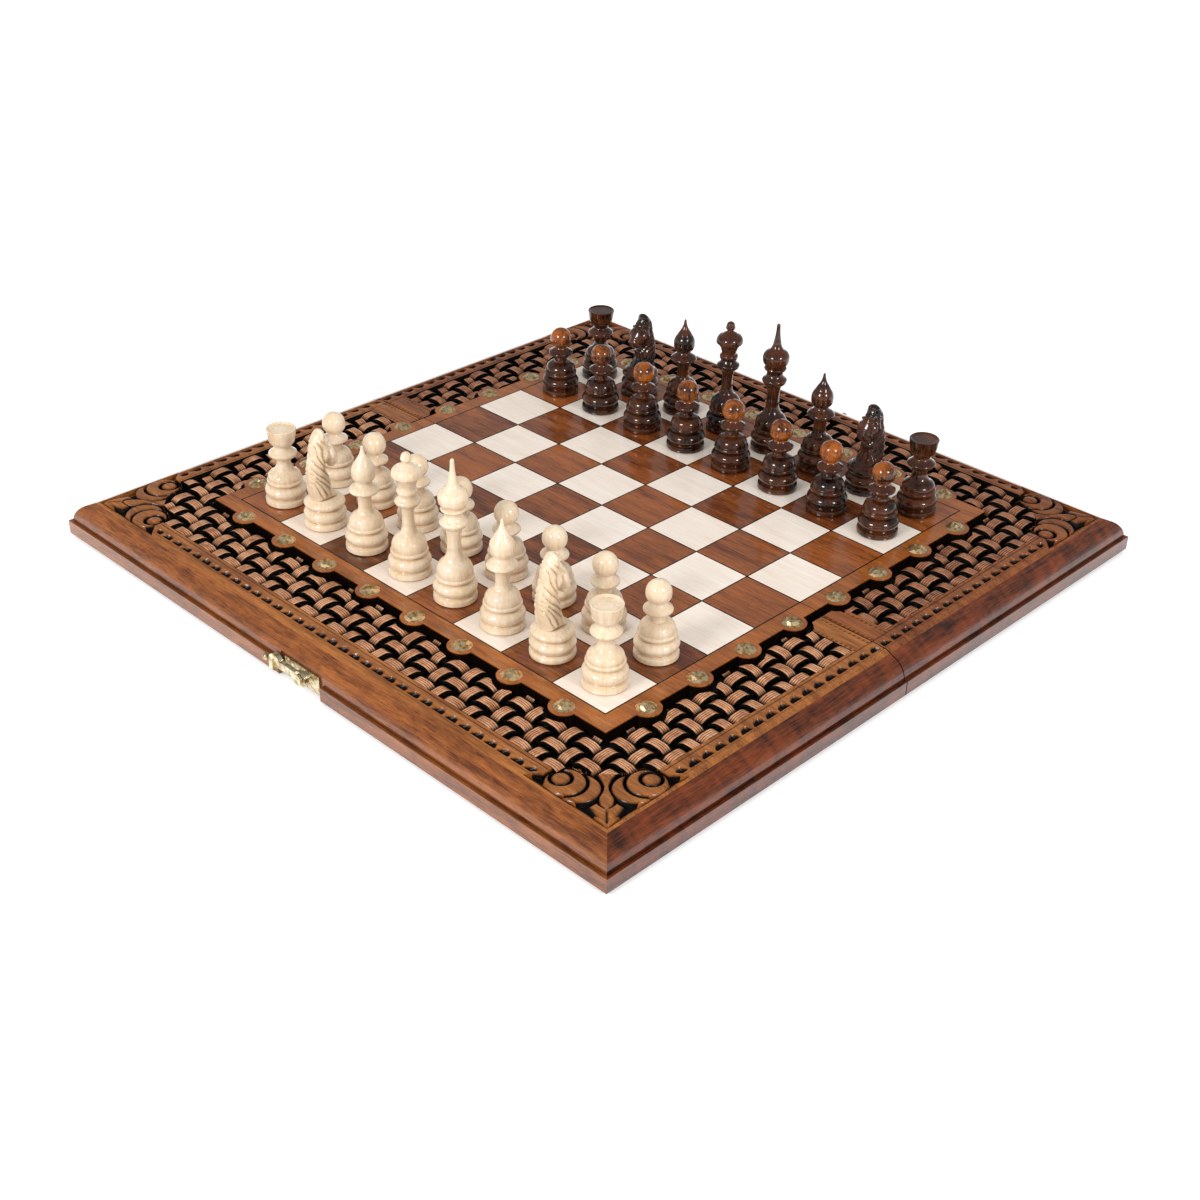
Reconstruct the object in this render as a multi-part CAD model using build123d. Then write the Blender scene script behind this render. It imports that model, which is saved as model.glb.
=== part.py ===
from build123d import *
import math
import os

# Folding chess and backgammon board, opened flat with the chess side up and the men set out.
# Millimetres. Origin at the centre of the board on the table, +X along the files a to h,
# +Y from white's side to the dark side, +Z up. Each half is a shallow tray lying upside down.

# Playing field
files = 8
square = 42.0
line_width = 0.6
veneer_thickness = 3.0

# Case: two equal halves that fold about the seam between the fourth and fifth ranks
board_width = 500.0
seam_clearance = 0.8
case_height = 28.0
rail_width = 18.0
base_thickness = 3.0
field_thickness = 9.0

# Outer edge moulding: a slope from the band to an arris, a swelling round, a ledge and an upright side
slope_width = 7.8
slope_drop = 3.4
panel_slope = 4.4
round_width = 8.1
round_height = 10.0
round_bulge = 1.7
fillet_drop = 2.0
ledge_width = 2.5
edge_ease = 1.0

# Scalloped strip around the squares, with one lobe and one brass stud for each edge square
strip_width = 12.0
stud_offset = 11.0
lobe_radius = 9.0
stud_radius = 6.4
stud_height = 3.2
stud_shank_radius = 1.5
stud_shank_length = 6.0
fit_clearance = 0.2

# Carved border, a little lower than the squares: a flat band outside the woven windows, a bridge at
# the seam, and scrolls in the corners, whose places are insets from the panel's outer edge
border_drop = 2.4
band_width = 15.5
bridge_width = 16.5
bridge_gap = 5.0
bridge_cove_radius = 13.0
groove_width = 0.9
groove_depth = 0.6
groove_insets = (1.6, 11.2)
scroll_ground_depth = 3.0
ground_margin = 1.2
volute_inset_x = 41.5
volute_inset_y = 11.0
volute_radius = 11.0
volute_eye_radius = 6.6
volute_eye_shift = 2.2
ball_radius = 4.6
leaf_shift = 8.5
leaf_rise = 1.5
leaf_radius = 12.0
bud_start_inset = 19.5
bud_tip_inset = 0.5
bud_half_width = 8.5
stem_width = 6.0
stem_length = 18.0
stem_seat = 3.5
scroll_gap = 0.8

# Basket weave carved between the strip and the band
weave_inset = 17.0
weave_spaces = 31
strand_width = 8.6
strand_height = 4.2
over_rise = 2.0
over_gap = 0.6

# Backgammon points let into the floor of each tray
points_per_row = 6
point_length = 182.0
point_depth = 1.0
point_spacing = 1.0

# Hinges: brass butts let into the rims at the seam, with the barrel on the rim plane
hinge_reach = 150.0
hinge_length = 50.0
leaf_width = 12.0
leaf_thickness = 1.0
barrel_radius = 1.6
pin_radius = 0.8
pin_clearance = 0.05
knuckle_gap = 0.3
barrel_clearance = 0.3
hinge_screws = 3
screw_head_radius = 1.6
screw_shank_radius = 0.9
screw_length = 8.0
screw_line = 7.2

# Felt pads under the outer rims, as thick as the hinge barrel stands proud, so the board lies level
pad_radius = 6.0
pad_reach = 200.0
pad_stagger = 16.0

# Latch: a swing hook on the white half that catches a headed peg on the dark half
latch_pocket_width = 40.0
latch_pocket_depth = 4.0
latch_pocket_height = 15.5
latch_pivot_x = 6.0
latch_height = 11.0
latch_plate_thickness = 1.2
latch_plate_inset = 4.0
latch_plate_margin = 1.5
latch_screw_inset = 4.0
hook_thickness = 3.0
hook_clearance = 0.5
hook_boss_radius = 5.0
hook_arm_height = 5.0
running_clearance = 0.05
pivot_radius = 2.0
pivot_shoulder_radius = 3.0
rivet_head_radius = 3.4
rivet_head_height = 1.5
head_gap = 0.3
peg_radius = 1.8
peg_clearance = 0.5
claw_wall = 3.2
claw_drop = 6.5
finial_radius = 2.3
finial_neck_radius = 1.4
finial_neck_length = 3.0
closed_angle = 179.5

# Men: each profile is a list of (height, radius, bulge) steps up from the one before it, where the
# bulge is how far the arc of that step swells out of its chord, and a round cap closes it at the top
man_foot = [
    (0.0, 13.4, 0.0), (4.6, 13.4, 0.9), (5.0, 12.7, 0.0), (13.6, 12.5, 1.5), (14.4, 11.3, -0.3),
    (15.2, 11.9, 0.0), (17.0, 11.8, 0.4),
]
king_body = [
    (27.0, 7.2, 1.3), (36.0, 4.6, -0.9), (49.0, 5.4, -0.7), (50.4, 7.2, 0.0), (54.2, 8.2, 0.9),
    (57.0, 6.1, -0.4), (60.0, 6.5, -0.1), (68.5, 9.5, 0.5), (74.5, 7.6, 0.9), (76.4, 4.9, 0.0),
    (92.0, 1.5, -0.9),
]
queen_body = [
    (27.8, 5.8, 1.5), (35.5, 3.9, -0.6), (46.4, 4.7, -0.5), (47.4, 6.8, 0.0), (51.0, 8.0, 0.9),
    (53.6, 5.6, -0.4), (60.0, 5.7, -0.1), (67.0, 9.9, -0.7), (68.2, 9.9, 0.2), (72.6, 7.9, 0.5),
    (74.8, 5.2, 0.0), (76.4, 1.9, -0.2), (79.2, 3.1, 0.9),
]
bishop_body = [
    (25.0, 6.2, 1.2), (30.7, 4.7, -0.5), (38.0, 5.4, -0.4), (39.0, 7.4, 0.0), (42.8, 8.2, 0.9),
    (45.2, 5.6, -0.4), (47.2, 4.4, -0.2), (53.3, 7.0, 0.9), (62.5, 3.7, 0.8), (69.6, 0.9, -0.6),
]
rook_body = [
    (22.6, 8.6, 1.0), (26.6, 5.4, -0.5), (32.4, 5.9, -0.4), (33.2, 8.4, 0.0), (37.4, 9.2, 1.0),
    (40.2, 6.0, -0.6), (46.6, 9.7, 0.9), (48.0, 9.7, 0.0), (48.4, 10.4, 0.0), (53.0, 10.6, 0.1),
]
pawn_body = [
    (23.7, 4.9, 1.6), (28.2, 5.2, -0.4), (29.2, 7.8, 0.0), (32.6, 8.6, 1.0), (34.6, 5.4, -0.4),
    (42.0, 8.4, 2.1),
]
bodies = {
    "king": king_body, "queen": queen_body, "bishop": bishop_body, "rook": rook_body, "pawn": pawn_body,
}
man_heights = {"king": 93.5, "queen": 82.2, "bishop": 71.0, "rook": 53.0, "pawn": 50.2}
knight_foot = [
    (0.0, 13.8, 0.0), (4.6, 13.8, 0.9), (5.0, 13.1, 0.0), (12.6, 13.0, 1.5), (13.4, 11.9, -0.3),
    (14.2, 12.8, 0.0), (18.6, 12.4, 1.0), (20.4, 9.6, -0.4),
]

# Horse's head in side view: (forward, height, bulge) steps from the back of the neck over the ears
# and the muzzle down to the chest, and its width from the neck up to the poll
head_outline = [
    (-9.0, 19.4, 0.0), (-8.4, 50.0, 2.6), (-1.8, 67.6, 2.2), (2.8, 61.4, 0.3), (10.9, 46.4, 0.8),
    (9.0, 41.0, 1.0), (4.6, 39.8, 0.3), (1.4, 44.2, -0.5), (3.4, 35.0, -1.4), (9.4, 19.4, 2.0),
]
knight_neck_width = 17.0
knight_poll_width = 9.0

# How the men are set out on the ranks, from the left as each side's half is built
back_rank = ("rook", "knight", "bishop", "queen", "king", "bishop", "knight", "rook")

# Worked out from the sizes above
half_board = board_width / 2
half_field = files * square / 2
seam = seam_clearance / 2
rim_z = barrel_radius
top_z = rim_z + case_height
border_z = top_z - border_drop
deck_z = top_z - field_thickness
floor_z = deck_z - base_thickness
slope_half = half_board - ledge_width - round_width - slope_width
panel_half = slope_half + panel_slope
panel_fall = slope_drop * panel_slope / slope_width
rail_inner = half_board - rail_width
strip_half = half_field + strip_width
window_half = panel_half - band_width
bridge_inner = strip_half + bridge_gap
volute_centre = (panel_half - volute_inset_x, panel_half - volute_inset_y)
bud_start = panel_half - bud_start_inset
bud_tip = panel_half - bud_tip_inset
weave_line = window_half - weave_inset
stud_line = half_field + stud_offset
pocket_floor = half_board - latch_pocket_depth
hook_back = half_board + hook_clearance
hook_front = hook_back + hook_thickness
latch_front = hook_front + head_gap + rivet_head_height
weave_pitch = 2 * weave_line / weave_spaces
latch_z = rim_z + latch_height
plate_front = pocket_floor + latch_plate_thickness
closed_gap = pocket_floor * math.sin(math.radians(180 - closed_angle))
hook_reach = 2 * latch_height + closed_gap
turn_half = Rot(0, 0, 180)


def prism(points, low, high):
    """A flat outline of straight edges drawn on the table, raised from low to high."""
    face = make_face(Polyline(*points, close=True))
    return Pos(0, 0, low) * extrude(face, high - low)


def block(x_range, y_range, z_range):
    """A box between two corners."""
    size = [high - low for low, high in (x_range, y_range, z_range)]
    middle = [(low + high) / 2 for low, high in (x_range, y_range, z_range)]
    return Pos(*middle) * Box(*size)


def disc(x, y, radius, low, high):
    """An upright round."""
    return Pos(x, y, (low + high) / 2) * Cylinder(radius, high - low)


def raise_sketch(sketch, low, high):
    """A sketch drawn on the table, raised from low to high."""
    return Pos(0, 0, low) * extrude(sketch, high - low)


def stud_places():
    """Centres of the studs on the white half: one for each edge square of the field."""
    centres = [((i + 0.5) * square, -stud_line) for i in range(-files // 2, files // 2)]
    for side in (-1, 1):
        centres += [(side * stud_line, -(j + 0.5) * square) for j in range(files // 2)]
    return centres


def rail_section():
    """Outer edge moulding: first axis inwards from the outer face, second axis up from the rim."""
    panel_edge = half_board - panel_half
    arris = case_height - border_drop - slope_drop
    round_foot = arris - round_height
    ledge = round_foot - fillet_drop
    rebate_floor = case_height - field_thickness - base_thickness
    return swelling_outline([
        (panel_edge, case_height - border_drop - panel_fall, 0), (ledge_width + round_width, arris, 0),
        (ledge_width, round_foot, round_bulge), (ledge_width, ledge, 0), (0, ledge, 0), (0, edge_ease, 0),
        (edge_ease, 0, 0), (rail_width, 0, 0), (rail_width, rebate_floor, 0), (panel_edge, rebate_floor, 0),
    ])


def mitred(rail, ends):
    """A rail cut to the plan of its side: its outer corners, then its inner corners."""
    return rail & prism(ends, 0, top_z)


def long_rail():
    """Outer rail of the white half, mitred at both corners, with the scoop for the latch."""
    section_plane = Plane((-half_board, -half_board, rim_z), x_dir=(0, 1, 0), z_dir=(1, 0, 0))
    outer_corners = [(-half_board, -half_board), (half_board, -half_board)]
    inner_corners = [(rail_inner, -rail_inner), (-rail_inner, -rail_inner)]
    rail = mitred(extrude(section_plane * rail_section(), board_width), outer_corners + inner_corners)
    scoop = block(
        (-latch_pocket_width / 2, latch_pocket_width / 2), (-half_board, -pocket_floor),
        (rim_z, rim_z + latch_pocket_height),
    )
    screw_holes = []
    for x, z in latch_screw_places():
        screw_holes.append(crosswise(x, z, screw_shank_radius, pocket_floor - screw_length, pocket_floor))
    return rail - [scoop] - screw_holes


def side_rail(side):
    """Side rail of the white half, mitred at the outer corner and square at the seam."""
    section_plane = Plane((half_board, -half_board, rim_z), x_dir=(-1, 0, 0), z_dir=(0, 1, 0))
    outer_corners = [(half_board, -half_board), (half_board, -seam)]
    inner_corners = [(rail_inner, -seam), (rail_inner, -rail_inner)]
    rail = extrude(section_plane * rail_section(), half_board - seam)
    rail = mitred(rail, outer_corners + inner_corners)
    return rail if side > 0 else mirror(rail, about=Plane.YZ)


def hinge_centres():
    """The two hinges on the seam."""
    return (-hinge_reach, hinge_reach)


def screw_centres(hinge_x):
    """Screws of one hinge leaf, along its length."""
    step = hinge_length / hinge_screws
    return [hinge_x + (k - (hinge_screws - 1) / 2) * step for k in range(hinge_screws)]


def seam_rail():
    """Back rail of the white half: under the base board at the seam, let in for the hinges."""
    rail = block((-rail_inner, rail_inner), (-rail_width - seam, -seam), (rim_z, floor_z))
    for x in hinge_centres():
        half_length = hinge_length / 2
        leaf_span = (x - half_length, x + half_length)
        mortise = block(leaf_span, (-leaf_width, -seam), (rim_z, rim_z + leaf_thickness))
        notch_length = hinge_length + 2 * knuckle_gap
        notch = Pos(x, 0, rim_z) * Rot(0, 90, 0) * Cylinder(barrel_radius + barrel_clearance, notch_length)
        rail = rail - mortise - notch
        for screw_x in screw_centres(x):
            rail = rail - disc(screw_x, -screw_line, screw_shank_radius, rim_z, rim_z + screw_length)
    return rail


def base_board():
    """Thin board that closes the tray: painted recess above, backgammon field below."""
    board = block((-panel_half, panel_half), (-panel_half, -seam), (floor_z, deck_z))
    for triangle in backgammon_points():
        board = board - triangle
    return board


def backgammon_points():
    """Twelve tapering inlays, six along each side rail, flush with the tray's floor."""
    near = rail_width + seam
    base = (rail_inner - near) / points_per_row
    triangles = []
    for side in (-1, 1):
        for k in range(points_per_row):
            middle = -rail_inner + (k + 0.5) * base
            half_base = (base - point_spacing) / 2
            outline = [
                (side * rail_inner, middle - half_base), (side * rail_inner, middle + half_base),
                (side * (rail_inner - point_length), middle),
            ]
            triangles.append(prism(outline, floor_z, floor_z + point_depth))
    return triangles


def square_outline(file, rank):
    """One square of the white half, inside the line that parts it from its neighbours."""
    low_x = file * square - half_field + line_width / 2
    low_y = rank * square - half_field + line_width / 2
    side = square - line_width
    high_y = min(low_y + side, -seam)
    return (low_x, low_x + side), (low_y, high_y)


def squares(dark):
    """The veneers of one colour on the white half; the corner square at the left is dark."""
    veneers = []
    for file in range(files):
        for rank in range(files // 2):
            if (file + rank) % 2 == (0 if dark else 1):
                x_range, y_range = square_outline(file, rank)
                veneers.append(block(x_range, y_range, (top_z - veneer_thickness, top_z)))
    return veneers


def scalloped_outline(growth):
    """Outline of the field board: a straight strip with a lobe at each stud, grown by a clearance."""
    edge = strip_half + growth
    outline = Pos(0, -(edge + seam) / 2) * Rectangle(2 * edge, edge - seam)
    for x, y in stud_places():
        outline += Pos(x, y) * Circle(lobe_radius + growth)
    return outline


def field_board():
    """Scalloped board that carries the squares and the studs."""
    board = raise_sketch(scalloped_outline(0), deck_z, top_z)
    nail_holes = [disc(x, y, stud_shank_radius, top_z - stud_shank_length, top_z) for x, y in stud_places()]
    return board - (squares(True) + squares(False) + nail_holes)


def studs():
    """Domed brass nails, one in each lobe."""
    head = dome(stud_radius, stud_height)
    nails = []
    for x, y in stud_places():
        shank = disc(x, y, stud_shank_radius, top_z - stud_shank_length, top_z)
        nails.append(Pos(x, y, top_z) * head + shank)
    return nails


def dome(radius, height):
    """A low round-topped button standing on the table."""
    crown_radius = (radius ** 2 + height ** 2) / (2 * height)
    return Pos(0, 0, height - crown_radius) * Sphere(crown_radius) & disc(0, 0, radius, 0, height)


def lens(start, tip, half_width):
    """A pointed leaf outline lying on the diagonal of the front right corner."""
    length = (tip - start) * math.sqrt(2)
    radius = (half_width ** 2 + (length / 2) ** 2) / (2 * half_width)
    middle = (tip + start) / 2
    shift = (radius - half_width) / math.sqrt(2)
    near = Pos(middle + shift, -middle + shift) * Circle(radius)
    return near & Pos(middle - shift, -middle - shift) * Circle(radius)


def across_diagonal(sketch):
    """The copy of a sketch across the diagonal of the front right corner."""
    return mirror(sketch, about=Plane((0, 0, 0), z_dir=(1, 1, 0)))


def corner_limit(margin):
    """The front right quarter of the panel, inside the band's outer edge by a margin."""
    reach = panel_half - ground_margin - margin
    return Pos(reach / 2, -reach / 2) * Rectangle(reach, reach)


def corner_ground():
    """Outline of the sunk ground under the carving at the front right corner."""
    x, y = volute_centre
    side = panel_half - x
    ground = Pos(x + side / 2, -x - side / 2) * Rectangle(side, side)
    volute = Pos(x, -y) * Circle(volute_radius + scroll_gap)
    ground = (ground + volute + across_diagonal(volute)) & corner_limit(0)
    return ground - scalloped_outline(fit_clearance)


def corner_relief():
    """Outline of the raised carving at the front right corner: volutes, leaves, bud and stem."""
    x, y = volute_centre
    shift = volute_eye_shift / math.sqrt(2)
    bud = lens(bud_start, bud_tip, bud_half_width)
    clear_bud = lens(bud_start - scroll_gap, bud_tip + scroll_gap, bud_half_width + scroll_gap)
    volute = Pos(x, -y) * Circle(volute_radius) - Pos(x - shift, -y + shift) * Circle(volute_eye_radius)
    leaf = Pos(x + leaf_shift, -y + leaf_rise) * Circle(leaf_radius)
    leaf = leaf - Pos(x, -y) * Circle(volute_radius + scroll_gap) - clear_bud
    stem_middle = bud_start + stem_seat - stem_length / (2 * math.sqrt(2))
    stem = Pos(stem_middle, -stem_middle) * Rot(0, 0, -45) * Rectangle(stem_length, stem_width)
    relief = bud + stem + volute + across_diagonal(volute) + leaf + across_diagonal(leaf)
    return (relief & corner_limit(scroll_gap)) - scalloped_outline(fit_clearance)


def volute_balls():
    """The round eyes of the two volutes at the front right corner."""
    x, y = volute_centre
    shift = volute_eye_shift / math.sqrt(2)
    ball = dome(ball_radius, scroll_ground_depth)
    ground_z = border_z - scroll_ground_depth
    return [Pos(x - shift, -y + shift, ground_z) * ball, Pos(y - shift, -x + shift, ground_z) * ball]


def both_corners(shape):
    """A shape at the front right corner and its mirror at the front left corner."""
    return [shape, mirror(shape, about=Plane.YZ)]


def window_outline():
    """Outline of the sunk, woven part of the border of the white half."""
    depth = window_half - bridge_width
    window = Pos(0, -bridge_width - depth / 2) * Rectangle(2 * window_half, depth)
    window = window - scalloped_outline(fit_clearance)
    for ground in both_corners(corner_ground()):
        window = window - ground
    return window


def bridge_outline(side):
    """Outline of the flat bridge beside the seam, hollowed round the nearest lobe."""
    width = panel_half - bridge_inner
    bridge = Pos(side * (bridge_inner + width / 2), -(bridge_width + seam) / 2)
    bridge = bridge * Rectangle(width, bridge_width - seam)
    return bridge - Pos(side * stud_line, -square / 2) * Circle(bridge_cove_radius)


def band_outline():
    """Outline of the flat band of the white half, with both bridges."""
    depth = panel_half - seam
    band = Pos(0, -seam - depth / 2) * Rectangle(2 * panel_half, depth)
    inner = window_half - seam
    band = band - Pos(0, -seam - inner / 2) * Rectangle(2 * window_half, inner)
    for side in (-1, 1):
        band += bridge_outline(side)
    for ground in both_corners(corner_ground()):
        band = band - ground
    return band


def weave_lines(limit):
    """Centre lines of the strands from the outer edge of the window inwards, up to a limit."""
    lines = []
    line = -weave_line - weave_pitch
    while line < limit:
        lines.append(line)
        line += weave_pitch
    return lines


def near_window(x, y):
    """Whether a point of the weave lies in the border rather than under the field."""
    return abs(x) > strip_half - weave_pitch or y < -strip_half + weave_pitch


def weave_holes():
    """Square gaps between the strands."""
    side = weave_pitch - strand_width
    holes = []
    for x in weave_lines(window_half):
        for y in weave_lines(-bridge_width):
            if near_window(x, y):
                holes.append(Pos(x + weave_pitch / 2, y + weave_pitch / 2) * Rectangle(side, side))
    return holes


def over_strands():
    """The raised runs of the strands, where one passes over its neighbour."""
    length = 2 * weave_pitch - strand_width - over_gap
    runs = []
    for column, x in enumerate(weave_lines(window_half)):
        for row, y in enumerate(weave_lines(-bridge_width)):
            along_x = (column + row) % 2 == 0
            size = (length, strand_width) if along_x else (strand_width, length)
            if near_window(x, y):
                runs.append(Pos(x, y) * Rectangle(*size))
    return runs


def border_grooves():
    """The two fine grooves that frame the chevron band, cut along three sides."""
    cuts = []
    for inset in groove_insets:
        outer = window_half + inset + groove_width / 2
        inner = outer - groove_width
        ring = Pos(0, -seam - outer / 2) * Rectangle(2 * outer, outer)
        cuts.append(ring - Pos(0, -seam - inner / 2) * Rectangle(2 * inner, inner))
    return cuts


def outer_slopes():
    """What is planed off the panel's three outer sides, so that its margin slopes down to the rail."""
    far = panel_half + panel_slope
    high = border_z + panel_fall
    section = make_face(Polyline(
        (slope_half, border_z), (far, border_z - 2 * panel_fall), (far, high), (slope_half, high), close=True
    ))
    front_plane = Plane((far, 0, 0), x_dir=(0, -1, 0), z_dir=(-1, 0, 0))
    right = extrude(Plane.XZ * section, far)
    return [extrude(front_plane * section, 2 * far), right, mirror(right, about=Plane.YZ)]


def carved_border():
    """Border of the white half, carved from one panel: band, bridges, scrolls and basket weave."""
    window = window_outline()
    strand_top = deck_z + strand_height
    border = raise_sketch(band_outline(), deck_z, border_z)
    for groove in border_grooves():
        border = border - raise_sketch(groove, border_z - groove_depth, border_z)
    border = border + raise_sketch(window - weave_holes(), deck_z, strand_top)
    runs = (Sketch() + over_strands()) & window
    border = border + raise_sketch(runs, strand_top, strand_top + over_rise)
    ground = raise_sketch(corner_ground(), deck_z, border_z - scroll_ground_depth)
    relief = raise_sketch(corner_relief(), border_z - scroll_ground_depth, border_z)
    corner = ground + relief + volute_balls()
    return border + both_corners(corner) - outer_slopes()


def felt_pads():
    """Round felt pads under the outer rail, staggered so that they pass each other when folded."""
    line = (half_board + rail_inner) / 2
    places = [side * pad_reach - pad_stagger / 2 for side in (-1, 1)]
    return [disc(x, -line, pad_radius, 0, rim_z) for x in places]


def knuckle_spans(hinge_x):
    """The three knuckles of a hinge along its barrel, with the running gaps between them."""
    third = hinge_length / 3
    start = hinge_x - hinge_length / 2
    spans = []
    for k in range(3):
        low = start + k * third + (knuckle_gap / 2 if k > 0 else 0)
        high = start + (k + 1) * third - (knuckle_gap / 2 if k < 2 else 0)
        spans.append((low, high))
    return spans


def barrel(radius, span):
    """A round along the hinge axis."""
    low, high = span
    return Pos((low + high) / 2, 0, rim_z) * Rot(0, 90, 0) * Cylinder(radius, high - low)


def hinge_leaf(hinge_x, own_knuckles):
    """One leaf let into the rim of the white half, with the knuckles that belong to it."""
    half_length = hinge_length / 2
    plate_edge = barrel_radius + barrel_clearance
    span = (hinge_x - half_length, hinge_x + half_length)
    leaf = block(span, (-leaf_width, -plate_edge), (rim_z, rim_z + leaf_thickness))
    spans = knuckle_spans(hinge_x)
    for k in own_knuckles:
        leaf = leaf + block(spans[k], (-plate_edge, 0), (rim_z, rim_z + leaf_thickness))
        leaf = leaf + barrel(barrel_radius, spans[k])
    leaf = leaf - barrel(pin_radius + pin_clearance, span)
    for screw_x in screw_centres(hinge_x):
        leaf = leaf - disc(screw_x, -screw_line, screw_head_radius, rim_z, rim_z + leaf_thickness)
    return leaf


def leaf_screws(hinge_x):
    """Countersunk screws of one leaf, flush with it."""
    screws = []
    for x in screw_centres(hinge_x):
        head = disc(x, -screw_line, screw_head_radius, rim_z, rim_z + leaf_thickness)
        shank = disc(x, -screw_line, screw_shank_radius, rim_z + leaf_thickness, rim_z + screw_length)
        screws.append(head + shank)
    return screws


def hinge_leaves(own_knuckles):
    """Both leaves of the white half and their screws."""
    pieces = []
    for x in hinge_centres():
        pieces.append(hinge_leaf(x, own_knuckles))
        pieces += leaf_screws(x)
    return pieces


def hinge_pins():
    """The pins through the two barrels."""
    return [barrel(pin_radius, (x - hinge_length / 2, x + hinge_length / 2)) for x in hinge_centres()]


def crosswise(x, z, radius, near, far):
    """A round across the front face of the white half, between two distances from the seam."""
    return Pos(x, -(near + far) / 2, z) * Rot(90, 0, 0) * Cylinder(radius, far - near)


def latch_screw_places():
    """The two screws of a latch plate."""
    z = rim_z + latch_pocket_height / 2
    reach = latch_pocket_width / 2 - latch_plate_inset - latch_screw_inset
    return [(-reach, z), (reach, z)]


def latch_plate(x):
    """Plate on the floor of the scoop, bored for its screws; x is where its post stands."""
    reach = latch_pocket_width / 2 - latch_plate_inset
    low = rim_z + latch_plate_margin
    high = rim_z + latch_pocket_height - latch_plate_margin
    plate = block((-reach, reach), (-plate_front, -pocket_floor), (low, high))
    for screw_x, z in latch_screw_places():
        plate = plate - crosswise(screw_x, z, screw_head_radius, pocket_floor, plate_front)
    return plate + crosswise(x, latch_z, rivet_head_radius, hook_front + head_gap, latch_front)


def latch_screws():
    """Screws that hold a latch plate to the rail."""
    screws = []
    for x, z in latch_screw_places():
        head = crosswise(x, z, screw_head_radius, pocket_floor, plate_front)
        shank = crosswise(x, z, screw_shank_radius, pocket_floor - screw_length, pocket_floor)
        screws.append(head + shank)
    return screws


def pivot_plate():
    """Latch plate of the white half, with the shouldered pivot that the hook turns on."""
    shoulder_end = hook_back - running_clearance
    plate = latch_plate(latch_pivot_x)
    plate = plate + crosswise(latch_pivot_x, latch_z, pivot_shoulder_radius, plate_front, shoulder_end)
    plate = plate + crosswise(latch_pivot_x, latch_z, pivot_radius, plate_front, hook_front + head_gap)
    return [plate] + latch_screws()


def catch_plate():
    """Latch plate of the other half, drawn on the white half before it is turned: a headed peg."""
    plate = latch_plate(-latch_pivot_x)
    plate = plate + crosswise(-latch_pivot_x, latch_z, peg_radius, plate_front, hook_front + head_gap)
    return [plate] + latch_screws()


def latch_hook():
    """Swing hook: boss, arm, a mouth that opens downwards over the peg, and a ball at its end."""
    mouth_radius = peg_radius + peg_clearance
    claw_radius = mouth_radius + claw_wall
    mouth_x = latch_pivot_x - hook_reach
    arm_length = hook_reach + claw_radius / 2
    outline = Pos(latch_pivot_x - arm_length / 2, latch_z) * Rectangle(arm_length, hook_arm_height)
    outline += Pos(latch_pivot_x, latch_z) * Circle(hook_boss_radius)
    outline += Pos(mouth_x, latch_z) * Circle(claw_radius)
    outline += Pos(mouth_x, latch_z - claw_drop / 2) * Rectangle(2 * claw_radius, claw_drop)
    below_arm_x = mouth_x + (claw_radius + mouth_radius) / 2
    below_arm = Pos(below_arm_x, latch_z - hook_arm_height / 2 - claw_radius)
    outline = outline - below_arm * Rectangle(claw_radius - mouth_radius, 2 * claw_radius)
    track = Circle(hook_reach + mouth_radius) - Circle(hook_reach - mouth_radius)
    track = Pos(latch_pivot_x, latch_z) * track
    track = track & Pos(mouth_x, latch_z - claw_radius) * Rectangle(4 * mouth_radius, 2 * claw_radius)
    outline = outline - track - Pos(mouth_x, latch_z) * Circle(mouth_radius)
    outline = outline - Pos(latch_pivot_x, latch_z) * Circle(pivot_radius + running_clearance)
    side_plane = Plane((0, -hook_back, 0), x_dir=(1, 0, 0), z_dir=(0, -1, 0))
    hook = extrude(side_plane * outline, hook_thickness)
    neck_start = mouth_x - mouth_radius - claw_wall / 2
    neck_end = mouth_x - claw_radius - finial_neck_length
    middle = (hook_back + hook_front) / 2
    neck = Pos((neck_start + neck_end) / 2, -middle, latch_z) * Rot(0, 90, 0)
    hook = hook + neck * Cylinder(finial_neck_radius, neck_start - neck_end)
    return hook + Pos(neck_end, -hook_back - finial_radius, latch_z) * Sphere(finial_radius)


def swelling_step(start, end, bulge):
    """A straight line, or the arc that swells to the right of the way from start to end."""
    if bulge == 0:
        return Line(start, end)
    run, rise = end[0] - start[0], end[1] - start[1]
    length = math.hypot(run, rise)
    middle = (start[0] + end[0]) / 2 + rise / length * bulge, (start[1] + end[1]) / 2 - run / length * bulge
    return ThreePointArc(start, middle, end)


def swelling_outline(points):
    """A closed outline through (x, y, bulge) points."""
    edges = []
    for before, after in zip(points, points[1:]):
        edges.append(swelling_step(before[:2], after[:2], after[2]))
    edges.append(Line(points[-1][:2], points[0][:2]))
    return make_face(edges)


def cap_bulge(start, height):
    """Bulge of the arc that closes a turned profile as a round cap centred on its axis."""
    start_height, start_radius, _ = start
    rise = height - start_height
    if rise == 0:
        return 0
    cap_radius = (start_radius ** 2 + rise ** 2) / (2 * rise)
    half_chord = math.hypot(start_radius, rise) / 2
    return cap_radius - math.sqrt(cap_radius ** 2 - half_chord ** 2)


def turned(profile, height):
    """A man turned from (height, radius, bulge) steps and closed by a cap, standing on the table."""
    steps = profile + [(height, 0, cap_bulge(profile[-1], height))]
    points = [(0, 0, 0)] + [(radius, step_height, bulge) for step_height, radius, bulge in steps]
    return revolve(Plane.XZ * swelling_outline(points), Axis.Z)


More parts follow.
